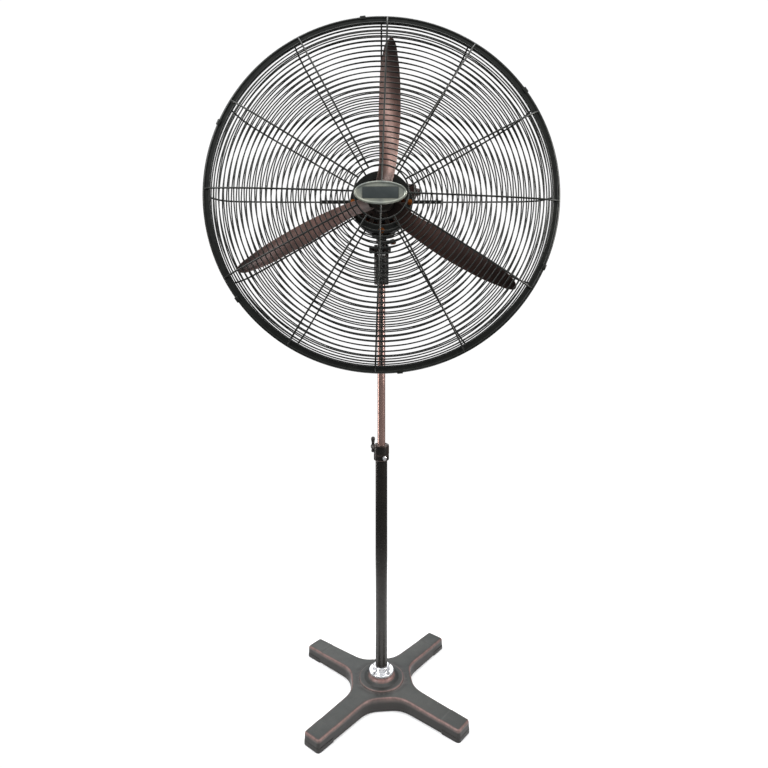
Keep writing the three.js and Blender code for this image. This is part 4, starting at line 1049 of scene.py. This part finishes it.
rear_rings = [(10.5, 44), (13, 49.0), (19, 50.0), (26, 49.6), (31, 48.6), (36, 48.2), (44, 48.0), (52, 47.6), (59, 47.2), (64, 46.6), (67.5, 45.0), (71.2, 42.6), (73.6, 40.2), (73.9, 38.6)]
rear_cover = geometry_of(vented_disc(rear_rings, None, 16, (5, 6, 7), 2.0))
rear_seat = lathe(fillet([(9.6, 50.2), (17, 50.2), (20, 48.6), (20, 34.6), (16.2, 34.6), (16.2, 45), (9.6, 45), (9.6, 50.2)], [0, 1, 1.2, 0.5, 0, 0, 0.4, 0], 4), "Y", 64, at=AX)
rear_screws = []
for k in range(4):
    x, z = around(45 + 90 * k, 68.9)
    s = geometry_of(cross_screw(3.6, 0, 2.4))
    rear_screws.append(moved(s, Matrix.Translation((x, 43.0, z)) @ Matrix.Rotation(RAD(-90), 4, "X")))
piece("motor_rear_cover_vented", together(rear_cover, rear_seat, *rear_screws), M["motor"], "head", "motor_rear_cover", smooth=36, reach=1.6)

# copper-coloured bolts through the middle ring of the rear guard, each on a washer
for k in range(4):
    x, z = around(90 * k, 69.3)
    head = moved(hex_head(6.4, 0, 3.2, 0.7), Matrix.Translation((x, -63.0, z)) @ Matrix.Rotation(RAD(90), 4, "X") @ Matrix.Rotation(RAD(15 + 23 * k), 4, "Z"))
    washer = lathe(fillet([(3.3, -63.05), (7.3, -63.05), (7.3, -62.35), (3.3, -62.35), (3.3, -63.05)], 0.2, 2), "Y", 48, at=(x, 0, z))
    stud = lathe([(0, -63), (3, -63), (3, -50), (0, -50)], "Y", 24, at=(x, 0, z))
    piece(f"guard_bolt_{k + 1}_hex", together(head, washer, stud), M["copper_bolt"], "head", f"guard_bolt_{k + 1}", smooth=30, reach=0.8)


def saddle():
    parts = [lathe(fillet([(0, 1148.2), (13, 1148.2), (13, 1168), (0, 1168)], [0, 1, 0, 0], 3), "Z", 64),
             block(-24, 24, -26, 26, 1159.5, 1178)]
    cutters = [lathe([(0, -60), (75.2, -60), (75.2, 60), (0, 60)], "Y", 96, at=AX),
               lathe([(0, 1140), (6.25, 1140), (6.25, 1161), (0, 1161)], "Z", 40)]
    return cast(parts, 1.0, 4, cutters)


piece("swing_saddle_casting", saddle(), M["motor"], "head", "swing_saddle", smooth=50, reach=2.4)


def gearbox():
    def outline(d, c):
        a, b_, e, f = -28 + d, 36 - d, 1166 + d, 1266 - d
        return fillet([(a, e), (b_, e), (b_, f), (a, f)], c, 7, closed=True)
    body = bevelled(prism(outline(1.2, 10), 50.3, 110.5, "XZ"), 2.2, 4, 40)
    flange = bevelled(prism(outline(0, 11), 50.3, 54.0, "XZ"), 0.8, 2, 40)
    lid = bevelled(prism(outline(0.2, 11), 108.0, 113.0, "XZ"), 1.4, 3, 40)
    raised = bevelled(prism(outline(9, 8), 112.0, 114.0, "XZ"), 0.9, 3, 40)
    ribs = [block(-28.0 + 0.2, 36 - 0.2, 60 + 11 * i, 62.5 + 11 * i, 1188, 1246) for i in range(4)]
    parts = [geometry_of(body), geometry_of(flange), geometry_of(lid), geometry_of(raised)] + ribs
    cutters = [lathe([(0, 1160), (5.25, 1160), (5.25, 1180), (0, 1180)], "Z", 32, at=(4, 86, 0)),
               lathe([(0, 1256), (4.25, 1256), (4.25, 1275), (0, 1275)], "Z", 32, at=(4, 86, 0)),
               lathe([(0, 104), (5.9, 104), (5.9, 120), (0, 120)], "Y", 32, at=(-12, 0, 1194)),
               block(-21, 29, 56, 104, 1172, 1260)]
    return cast(parts, 1.1, 2, cutters)


piece("gearbox_housing_casting", gearbox(), M["motor"], "head", "gearbox_housing", smooth=45, reach=2.2)
lid_screws = []
for k, (x, z) in enumerate(((-22.5, 1171.5), (30.5, 1171.5), (30.5, 1260.5), (-22.5, 1260.5))):
    s = turned(geometry_of(cross_screw(3.4, 0, 2.2)), 11 + 31 * k)
    lid_screws.append(moved(s, Matrix.Translation((x, 112.6, z)) @ Matrix.Rotation(RAD(-90), 4, "X")))
piece("gearbox_lid_screws", together(*lid_screws), M["steel"], "head", reach=0.6)


def gland():
    nut = moved(hex_head(9.9, 0, 6.0, -0.2), Matrix.Rotation(RAD(-90), 4, "X"))
    def grip(a, r, h):
        return r - 0.35 + 0.35 * math.cos(18 * a) if r > 6.9 else r
    cap = lathe(fillet([(4.1, 5.6), (7.5, 5.6), (7.5, 9.5), (6.4, 12.2), (5.2, 13), (4.1, 13), (4.1, 5.6)], [0, 0.4, 0.8, 0.8, 0.8, 0.2, 0], 3), "Y", 72, wave=grip)
    thread = lathe([(4.05, -3.8), (5.5, -3.8), (5.5, 1), (4.05, 1), (4.05, -3.8)], "Y", 40)
    body = raw_object(outward(nut))
    combine(body, [lathe([(0, -4), (4.05, -4), (4.05, 10), (0, 10)], "Y", 40)], "DIFFERENCE")
    return shifted(together(geometry_of(body), cap, thread), -12, 114.3, 1194)


piece("cable_gland_nut", gland(), M["plastic"], "head", "cable_gland", smooth=34, reach=1.0)


def pull_knob():
    def knurl(a, r, h):
        return r - 0.3 + 0.3 * math.cos(24 * a) if r > 7.9 else r
    prof = fillet([(0, 1258), (4, 1258), (4, 1269.6), (7.4, 1271.4), (8.5, 1273), (8.5, 1281.2), (7.0, 1283.6), (3.5, 1284), (0, 1283.2)], [0, 0.4, 0.6, 1, 1, 1.2, 1.6, 2, 0], 4)
    return lathe(prof, "Z", 120, at=(4, 86, 0), wave=knurl)


piece("oscillation_knob_grip", pull_knob(), M["plastic"], "swing_control", "oscillation_knob", smooth=34, reach=1.4)


def switch_box():
    box = raw_object(outward(block(60, 87.2, -14, 32, 1256, 1294)))
    bevelled(box, 3.2, 5, 40)
    plate = bevelled(prism(rounded_rect(-11.5, 29.5, 1258.5, 1291.5, 4), 86.6, 88.0, "YZ"), 0.5, 2, 40)
    combine(box, [lathe([(0, -60), (75.2, -60), (75.2, 60), (0, 60)], "Y", 128, at=AX)], "DIFFERENCE")
    ticks = []
    for a in (-60, -20, 20, 60):
        t = RAD(a)
        ticks.append(moved(block(-0.7, 0.7, -0.5, 0.5, 12.8, 15.2), Matrix.Translation((87.9, 8, 1276)) @ Matrix.Rotation(-t, 4, "X")))
    return together(geometry_of(box), geometry_of(plate), *ticks)


piece("switch_box_case", switch_box(), M["red_plastic"], "head", "switch_box", smooth=36, reach=2.2)
box_screws = []
for k, (y, z) in enumerate(((-8, 1262), (26, 1262), (-8, 1288), (26, 1288))):
    s = turned(geometry_of(cross_screw(2.3, 0, 1.3, 0.6)), 25 * k)
    box_screws.append(moved(s, Matrix.Translation((87.9, y, z)) @ Matrix.Rotation(RAD(90), 4, "Y")))
piece("switch_box_screws", together(*box_screws), M["steel"], "head", reach=0.5)


def speed_knob():
    def grip(a, r, h):
        return r - 0.35 + 0.35 * math.cos(20 * a) if r > 9.6 and h > 89.4 else r
    prof = fillet([(0, 83), (3, 83), (3, 89), (11, 89), (11, 91.2), (10.2, 92.2), (9.6, 96.4), (8.4, 97), (0, 97)], [0, 0, 0, 0.5, 0.6, 0.5, 0.8, 0.8, 0], 3)
    knob = lathe(prof, "X", 100, at=(0, 8, 1276), wave=grip)
    fin = bevelled(block(96, 100, 6.1, 9.9, 1267.3, 1284.7), 1.1, 4, 40)
    return together(knob, geometry_of(fin))


piece("speed_knob_dial", speed_knob(), M["red_plastic"], "speed_control", "speed_knob", smooth=34, reach=1.4)


# ---------------------------------------------------------------------- guards
def smooth_line(stations, n=400):
    """A smooth line through (r, y) stations, as evenly spaced points along it."""
    P = np.array(stations, float)
    P = np.vstack([2 * P[0] - P[1], P, 2 * P[-1] - P[-2]])
    out = []
    for i in range(1, len(P) - 2):
        p0, p1, p2, p3 = P[i - 1], P[i], P[i + 1], P[i + 2]
        d1, d2, d0, d3 = np.linalg.norm(p2 - p1) ** 0.5, np.linalg.norm(p3 - p2) ** 0.5, np.linalg.norm(p1 - p0) ** 0.5, 1
        t0, t1 = 0.0, d0
        t2 = t1 + d1
        t3 = t2 + d2
        for t in np.linspace(t1, t2, 60, endpoint=False):
            a1 = (t1 - t) / (t1 - t0) * p0 + (t - t0) / (t1 - t0) * p1
            a2 = (t2 - t) / (t2 - t1) * p1 + (t - t1) / (t2 - t1) * p2
            a3 = (t3 - t) / (t3 - t2) * p2 + (t - t2) / (t3 - t2) * p3
            b1 = (t2 - t) / (t2 - t0) * a1 + (t - t0) / (t2 - t0) * a2
            b2 = (t3 - t) / (t3 - t1) * a2 + (t - t1) / (t3 - t1) * a3
            out.append((t2 - t) / (t2 - t1) * b1 + (t - t1) / (t2 - t1) * b2)
    out.append(P[-2])
    Q = np.array(out)
    s = np.concatenate([[0], np.cumsum(np.linalg.norm(np.diff(Q, axis=0), axis=1))])
    u = np.linspace(0, s[-1], n)
    return np.stack([np.interp(u, s, Q[:, 0]), np.interp(u, s, Q[:, 1])], 1), s[-1]


def offset_line(line, d):
    t = np.gradient(line, axis=0)
    t /= np.linalg.norm(t, axis=1)[:, None]
    return line + d * np.stack([-t[:, 1], t[:, 0]], 1)


def at_length(line, total, s):
    u = np.linspace(0, total, len(line))
    return np.interp(s, u, line[:, 0]), np.interp(s, u, line[:, 1])


def spoke(line, deg, r, sides=10, step=6):
    pts = line[::step]
    if len(line) % step != 1:
        pts = np.vstack([pts, line[-1]])
    a = RAD(deg)
    P = np.stack([pts[:, 0] * math.cos(a), pts[:, 1], HEAD_Z + pts[:, 0] * math.sin(a)], 1)
    return tube(P, r, sides)


RING_R, SPOKE_R, RIM_WIRE = 1.6, 2.1, 3.9
FRONT_LINE, FRONT_LEN = smooth_line([(60, -210), (130, -209), (205, -206), (275, -201), (340, -192), (386, -180), (401.0, -170.4)])
REAR_LINE, REAR_LEN = smooth_line([(70, -60.6), (150, -61.5), (230, -63), (305, -66), (352, -71.5), (378, -84), (393, -112), (401.0, -162.6)])


def guard(line, total, pitch, ring_side, skip_first=0.0, rim_y=0.0):
    rings_line = offset_line(line, ring_side * (RING_R + 0.2))
    spokes_line = offset_line(line, -ring_side * (SPOKE_R - 0.35))
    n = int(round((total - skip_first - 8) / pitch))
    wires = []
    for i in range(n):
        s = skip_first + (total - 9 - skip_first) * (i + 0.5) / n
        r, y = at_length(rings_line, total, s)
        wires.append(torus(r, y, RING_R, 160, 8, at=AX))
    for k in range(12):
        wires.append(spoke(spokes_line, 30 * k, SPOKE_R))
    wires.append(torus(line[-1][0], line[-1][1], RIM_WIRE, 192, 14, at=AX))
    return wires


front = guard(FRONT_LINE, FRONT_LEN, 12.3, 1, 7.0)
# middle ring of the front guard, and the crossed bars that carry the badge
front.append(torus(60, -210.2, 1.9, 96, 12, at=AX))
for a, b_ in (((-59, 0), (59, 0)), ((0, -59), (0, 59))):
    front.append(tube([(a[0] + (b_[0] - a[0]) * t, -209.6 + 0.0 * t, HEAD_Z + a[1] + (b_[1] - a[1]) * t) for t in np.linspace(0, 1, 9)], 2.0, 10))
front.append(lathe(fillet([(388.5, -172.8), (405.2, -172.8), (405.2, -167.3), (388.5, -167.3), (388.5, -172.8)], 2.2, 5), "Y", 192, at=AX))
piece("front_guard_wires", turned(together(*front), 2, "Y", AX), M["wire"], "head", "front_guard", smooth=60, reach=0.4)

rear = guard(REAR_LINE, REAR_LEN, 12.0, -1, 14.0)
ring_plate = lathe(fillet([(59.2, -62.2), (77.0, -62.2), (77.0, -59.2), (59.2, -59.2), (59.2, -62.2)], 1.0, 3), "Y", 128, at=AX)
ring_ob = raw_object(outward(ring_plate))
holes = []
for k in range(4):
    x, z = around(90 * k, 69.3)
    holes.append(lathe([(0, -70), (3.3, -70), (3.3, -50), (0, -50)], "Y", 32, at=(x, 0, z)))
combine(ring_ob, holes, "DIFFERENCE")
rear.append(geometry_of(ring_ob))
rear.append(lathe(fillet([(389.5, -166.1), (405.2, -166.1), (405.2, -161.0), (389.5, -161.0), (389.5, -166.1)], 2.2, 5), "Y", 192, at=AX))
for sgn in (-1, 1):                                # the flat stiffeners that run out through the side bolts
    strap = bevelled(block(min(sgn * 74, sgn * 151), max(sgn * 74, sgn * 151), -65.6, -60.6, HEAD_Z - 4.2, HEAD_Z + 4.2), 1.2, 3)
    rear.append(geometry_of(strap))
piece("rear_guard_wires", together(*rear), M["wire"], "head", "rear_guard", smooth=60, reach=0.4)

# clips that hold the two rims together; a screw and nut are shaped for each but left out of the piece
for k in range(6):
    a = 36 + 60 * k
    f, bk = RIM_Y - 9.0, RIM_Y + 9.8
    outline = fillet([(397.6, f), (407.2, f), (407.2, bk), (397.6, bk), (397.6, bk - 1.7), (405.6, bk - 1.7), (405.6, f + 1.7), (397.6, f + 1.7)],
                     [0.8, 3.4, 3.4, 0.8, 0.6, 2.0, 2.0, 0.6], 4, closed=True)
    clip = bevelled(prism(outline, -6.5, 6.5), 0.5, 2, 40)
    screw = moved(hex_head(3.6, 0, 2.0, 0.4), Matrix.Translation((402.0, f + 0.1, 0)) @ Matrix.Rotation(RAD(90), 4, "X"))
    nut = moved(hex_head(3.6, 0, 2.0, 0.2), Matrix.Translation((402.0, bk - 0.1, 0)) @ Matrix.Rotation(RAD(-90), 4, "X"))
    clip_part = moved(geometry_of(clip), Matrix.Translation(AX) @ Matrix.Rotation(RAD(-a), 4, "Y"))
    piece(f"rim_clip_{k + 1}_strap", clip_part, M["wire"], "head", f"rim_clip_{k + 1}", smooth=36, reach=0.8)


# badge: an oval plate with a raised rim and a plain sunk panel
BADGE = (-2.2, 0.0, HEAD_Z - 2.0)


def badge():
    rings = []
    # (shrink of the oval's half axes, y)
    steps = [(0.0, -212.3), (0.0, -214.4), (0.6, -215.6), (1.6, -216.3), (3.2, -216.4), (4.4, -216.0), (5.2, -215.2), (6.5, -215.0)]
    n = 120
    verts = []
    for d, y in steps:
        for k in range(n):
            t = 2 * PI * k / n
            c, s = math.cos(t), math.sin(t)
            verts.append(((58.5 - d) * math.copysign(abs(c) ** 0.96, c), y, (25.8 - d) * math.copysign(abs(s) ** 0.96, s)))
    faces = []
    for i in range(len(steps) - 1):
        for k in range(n):
            j = (k + 1) % n
            faces.append((i * n + k, i * n + j, (i + 1) * n + j, (i + 1) * n + k))
    faces.append(tuple(range(n))[::-1])
    last = (len(steps) - 1) * n
    # a domed middle
    rings = [(0.8, -215.4), (0.55, -215.75), (0.28, -215.95)]
    prev = last
    for sc, y in rings:
        start = len(verts)
        for k in range(n):
            t = 2 * PI * k / n
            verts.append((52 * sc * math.cos(t), y, 19.3 * sc * math.sin(t)))
        for k in range(n):
            j = (k + 1) % n
            faces.append((prev + k, prev + j, start + j, start + k))
        prev = start
    verts.append((0, -216.0, 0))
    for k in range(n):
        faces.append((prev + k, prev + (k + 1) % n, len(verts) - 1))
    ob = raw_object(outward((np.array(verts, float) + np.array(BADGE), faces)))
    return combine(ob, [shifted(prism(rounded_rect(-41, 41, -13.6, 13.6, 2.5), -220, -214.7, "XZ"), *BADGE)], "DIFFERENCE")


piece("badge_plate", badge(), M["badge"], "head", "badge", smooth=40, reach=1.0)
panel = bevelled(shifted(prism(rounded_rect(-39.6, 39.6, -12.4, 12.4, 1.8), -215.3, -214.3, "XZ"), *BADGE), 0.3, 2, 40)
piece("badge_panel", panel, M["badge_dark"], "head", reach=0.6)
brackets = [geometry_of(bevelled(block(sx - 4, sx + 4, -212.6, -211.0, HEAD_Z - 5, HEAD_Z + 5), 0.5, 2)) for sx in (-34, 34)]
brackets += [geometry_of(bevelled(block(sx - 3, sx + 3, -211.6, -207.0, HEAD_Z - 3.6, HEAD_Z + 3.6), 0.6, 2)) for sx in (-34, 34)]
piece("badge_brackets", together(*brackets), M["wire"], "head", reach=0.8)

# ------------------------------------------------------------------- impeller
BLADE_Y, BLADE_T = -111.0, 2.6
BLADE = np.array([[26, -13, 22, 34], [34.5, -13, 24, 36], [75, -6, 34, 40], [130, -5, 41, 37], [190, -6.4, 45.8, 33], [250, -5, 46, 29],
                  [305, -2.4, 43.9, 25], [345, 4, 38.8, 22], [370, 11, 34, 20], [381, 20, 28, 19]], float)


def smooth_columns(table, r):
    """Smooth interpolation of each column over the first, without overshoot at the ends."""
    x = table[:, 0]
    out = []
    for c in range(1, table.shape[1]):
        y = table[:, c]
        d = np.diff(y) / np.diff(x)
        m = np.concatenate([[d[0]], (d[:-1] + d[1:]) / 2, [d[-1]]])
        i = np.clip(np.searchsorted(x, r) - 1, 0, len(x) - 2)
        h = x[i + 1] - x[i]
        t = (r - x[i]) / h
        out.append((2 * t ** 3 - 3 * t ** 2 + 1) * y[i] + (t ** 3 - 2 * t ** 2 + t) * h * m[i]
                   + (-2 * t ** 3 + 3 * t ** 2) * y[i + 1] + (t ** 3 - t ** 2) * h * m[i + 1])
    return out


def blade():
    rs = np.concatenate([np.linspace(26, 345, 44), np.linspace(350, 376, 9), [378, 379.6, 380.7, 381.0]])
    tr, le, pitch = smooth_columns(BLADE, rs)
    n = 15
    f_up = 0.5 - 0.5 * np.cos(np.linspace(0, PI, n))
    verts, faces = [], []
    for r, x0, x1, p in zip(rs, tr, le, pitch):
        if r > 380.2:                              # the tip closes round
            mid = (x0 + x1) / 2
            k = 0.85 if r < 380.9 else 0.6
            x0, x1 = mid + (x0 - mid) * k, mid + (x1 - mid) * k
        b_ = math.radians(p)
        nx, ny = math.sin(b_), -math.cos(b_)
        w = x1 - x0
        camber = 0.07 * w
        row = []
        for side, fs in ((1, f_up), (-1, f_up[::-1][1:-1])):
            for f in fs:
                x, y = x0 + f * w, (f - 0.5) * w * math.tan(b_)
                edge = min(f, 1 - f) * w / 1.6
                half = BLADE_T / 2 * (1.0 if edge >= 1 else math.sqrt(max(0.0, 1 - (1 - edge) ** 2)))
                lift = -camber * 4 * f * (1 - f) + side * half
                row.append((x + nx * lift, BLADE_Y + y + ny * lift, r))
        verts += row
    ring = 2 * n - 2
    for i in range(len(rs) - 1):
        for j in range(ring):
            k = (j + 1) % ring
            faces.append((i * ring + j, i * ring + k, (i + 1) * ring + k, (i + 1) * ring + j))
    faces.append(tuple(range(ring))[::-1])
    faces.append(tuple((len(rs) - 1) * ring + j for j in range(ring)))
    return np.array(verts, float), faces


for k in range(3):
    m = Matrix.Translation(AX) @ Matrix.Rotation(RAD(120 * k), 4, "Y")
    piece(f"blade_{k + 1}_sheet", moved(blade(), m), M["blade"], "impeller", f"blade_{k + 1}", smooth=50, reach=0.9)

hub_prof = fillet([(8.4, -124), (20, -124.6), (29, -122), (33, -117), (33, -98.5), (31.5, -97), (22, -96.5), (18.4, -92), (18, -88), (8.4, -88), (8.4, -124)],
                  [0, 2, 4, 4, 1.2, 1.0, 1.5, 2, 0.8, 0.2, 0], 5)
hub = lathe(hub_prof, "Y", 96, at=AX)
ribs = []
for k in range(3):                                 # a cast arm under the root of each blade
    arm = prism(fillet([(-7, 20), (7, 20), (5.4, 52), (-5.4, 52)], [0, 0, 4.5, 4.5], 4, closed=True), -106, -101.5, "XZ")
    arm = geometry_of(bevelled(arm, 1.0, 3, 40))
    arm = moved(arm, Matrix.Translation((0, -103.5, 0)) @ Matrix.Rotation(RAD(-38), 4, "Z") @ Matrix.Translation((0, 103.5, 0)))
    ribs.append(moved(shifted(arm, 5, 2.4, 0), Matrix.Translation(AX) @ Matrix.Rotation(RAD(120 * k), 4, "Y")))
piece("blade_hub_casting", together(hub, *ribs), M["dark"], "impeller", "blade_hub", smooth=42, reach=2.0)

nut = together(lathe(fillet([(5.4, -125.2), (12, -125.2), (12.6, -126.5), (12.6, -133), (11.6, -141), (8.6, -147.5), (4.2, -150.6), (0, -151.2), (0, -147), (5.4, -146), (5.4, -125.2)],
                            [0, 0.5, 0.8, 2, 4, 4, 3, 0, 0, 0, 0], 4), "Y", 64, at=AX))
piece("hub_nut_cap", nut, M["polished"], "impeller", "hub_nut", smooth=50, reach=1.4)

# ----------------------------------------------------- CAD nodes that stay shown
KEPT = {"tube_bush": "plastic", "tube_glide": "plastic", "front_bearing": "steel", "rear_bearing": "steel", "stator_core": "lamination",
        "stator_winding_front": "winding", "stator_winding_rear": "winding", "capacitor": "plastic", "motor_shaft": "steel", "rotor_core": "lamination"}
for name, key in KEPT.items():
    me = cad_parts[name].data
    for i in range(len(me.materials)):
        me.materials[i] = M[key]
    if not me.materials:
        me.materials.append(M[key])

# ---------------------------------------------------------- floor, light, camera
def stage_material():
    """A plain pale floor that fades out into the white surround, so that no horizon line cuts the picture."""
    n = Nodes("pale_floor")
    o = n.split()
    r = n.math("SQRT", n.math("ADD", n.math("MULTIPLY", o[0], o[0]), n.math("MULTIPLY", o[1], o[1])))
    n.set(Base_Color=(0.9, 0.9, 0.9, 1.0), Roughness=0.9, Metallic=0.0)
    n.b.inputs["Emission Color"].default_value = (1, 1, 1, 1)
    n.b.inputs["Emission Strength"].default_value = 0.26
    clear = n.t.nodes.new("ShaderNodeBsdfTransparent")
    mixer = n.t.nodes.new("ShaderNodeMixShader")
    n.link(n.remap(r, 0.36, 0.75), mixer.inputs[0])
    n.link(n.b.outputs[0], mixer.inputs[1])
    n.link(clear.outputs[0], mixer.inputs[2])
    n.link(mixer.outputs[0], n.out.inputs[0])
    return n.m


floor = raw_object(lathe([(0, -4), (1300, -4), (1300, -0.05), (0, -0.05)], "Z", 96), "floor")
floor.data.materials.append(stage_material())

world = bpy.data.worlds.new("studio")
S.world = world
world.use_nodes = True
wt = world.node_tree
wt.nodes.clear()
wo = wt.nodes.new("ShaderNodeOutputWorld")
bg_seen, bg_lit = wt.nodes.new("ShaderNodeBackground"), wt.nodes.new("ShaderNodeBackground")
mixer, path = wt.nodes.new("ShaderNodeMixShader"), wt.nodes.new("ShaderNodeLightPath")
bg_seen.inputs[0].default_value = (1, 1, 1, 1)
bg_seen.inputs[1].default_value = 1.05
# what lights the object: pale above, dim below
tc, sep = wt.nodes.new("ShaderNodeTexCoord"), wt.nodes.new("ShaderNodeSeparateXYZ")
wt.links.new(tc.outputs["Generated"], sep.inputs[0])
ramp = wt.nodes.new("ShaderNodeMapRange")
ramp.inputs["From Min"].default_value, ramp.inputs["From Max"].default_value = -0.25, 0.8
ramp.inputs["To Min"].default_value, ramp.inputs["To Max"].default_value = 0.10, 0.75
wt.links.new(sep.outputs[2], ramp.inputs["Value"])
wt.links.new(ramp.outputs["Result"], bg_lit.inputs[1])
bg_lit.inputs[0].default_value = (0.94, 0.97, 1.0, 1)
wt.links.new(path.outputs["Is Camera Ray"], mixer.inputs[0])
wt.links.new(bg_lit.outputs[0], mixer.inputs[1])
wt.links.new(bg_seen.outputs[0], mixer.inputs[2])
wt.links.new(mixer.outputs[0], wo.inputs[0])


def area(name, loc, aim, size, power, colour=(1, 1, 1)):
    d = bpy.data.lights.new(name, "AREA")
    d.shape = "RECTANGLE"
    d.size, d.size_y = size
    d.energy = power
    d.color = colour
    o = bpy.data.objects.new(name, d)
    S.collection.objects.link(o)
    o.location = loc
    o.rotation_mode = "QUATERNION"
    o.rotation_quaternion = (Vector(aim) - Vector(loc)).to_track_quat("-Z", "Y")
    return o


area("key_left", (-2.6, -2.0, 2.6), (0, 0, 0.9), (1.2, 2.2), 74)
area("fill_right", (2.8, -1.2, 1.6), (0, 0, 1.2), (0.9, 1.8), 17, (1.0, 0.97, 0.94)).data.spread = RAD(75)
area("strip_left", (-2.3, 0.7, 0.6), (0, 0, 0.6), (0.5, 1.4), 15, (1.0, 0.95, 0.92))
area("top", (0.0, 0.2, 3.4), (0, 0, 0), (2.4, 2.4), 60)
area("back", (-0.5, 3.0, 2.2), (0, 0, 0.7), (2.4, 1.6), 21)

cam_data = bpy.data.cameras.new("camera")
cam_data.sensor_fit = "HORIZONTAL"
cam_data.sensor_width = 36.0
cam_data.lens = 27.112
cam_data.shift_x = 0.0034
cam_data.shift_y = -0.1225
cam_data.clip_start, cam_data.clip_end = 0.01, 60
cam = bpy.data.objects.new("camera", cam_data)
S.collection.objects.link(cam)
cam.location = (0.0, -1.4805, 1.0246)
cam.rotation_euler = (RAD(90), 0, 0)
S.camera = cam
S.view_settings.view_transform = "Standard"
S.view_settings.look = "None"

bpy.context.view_layer.update()
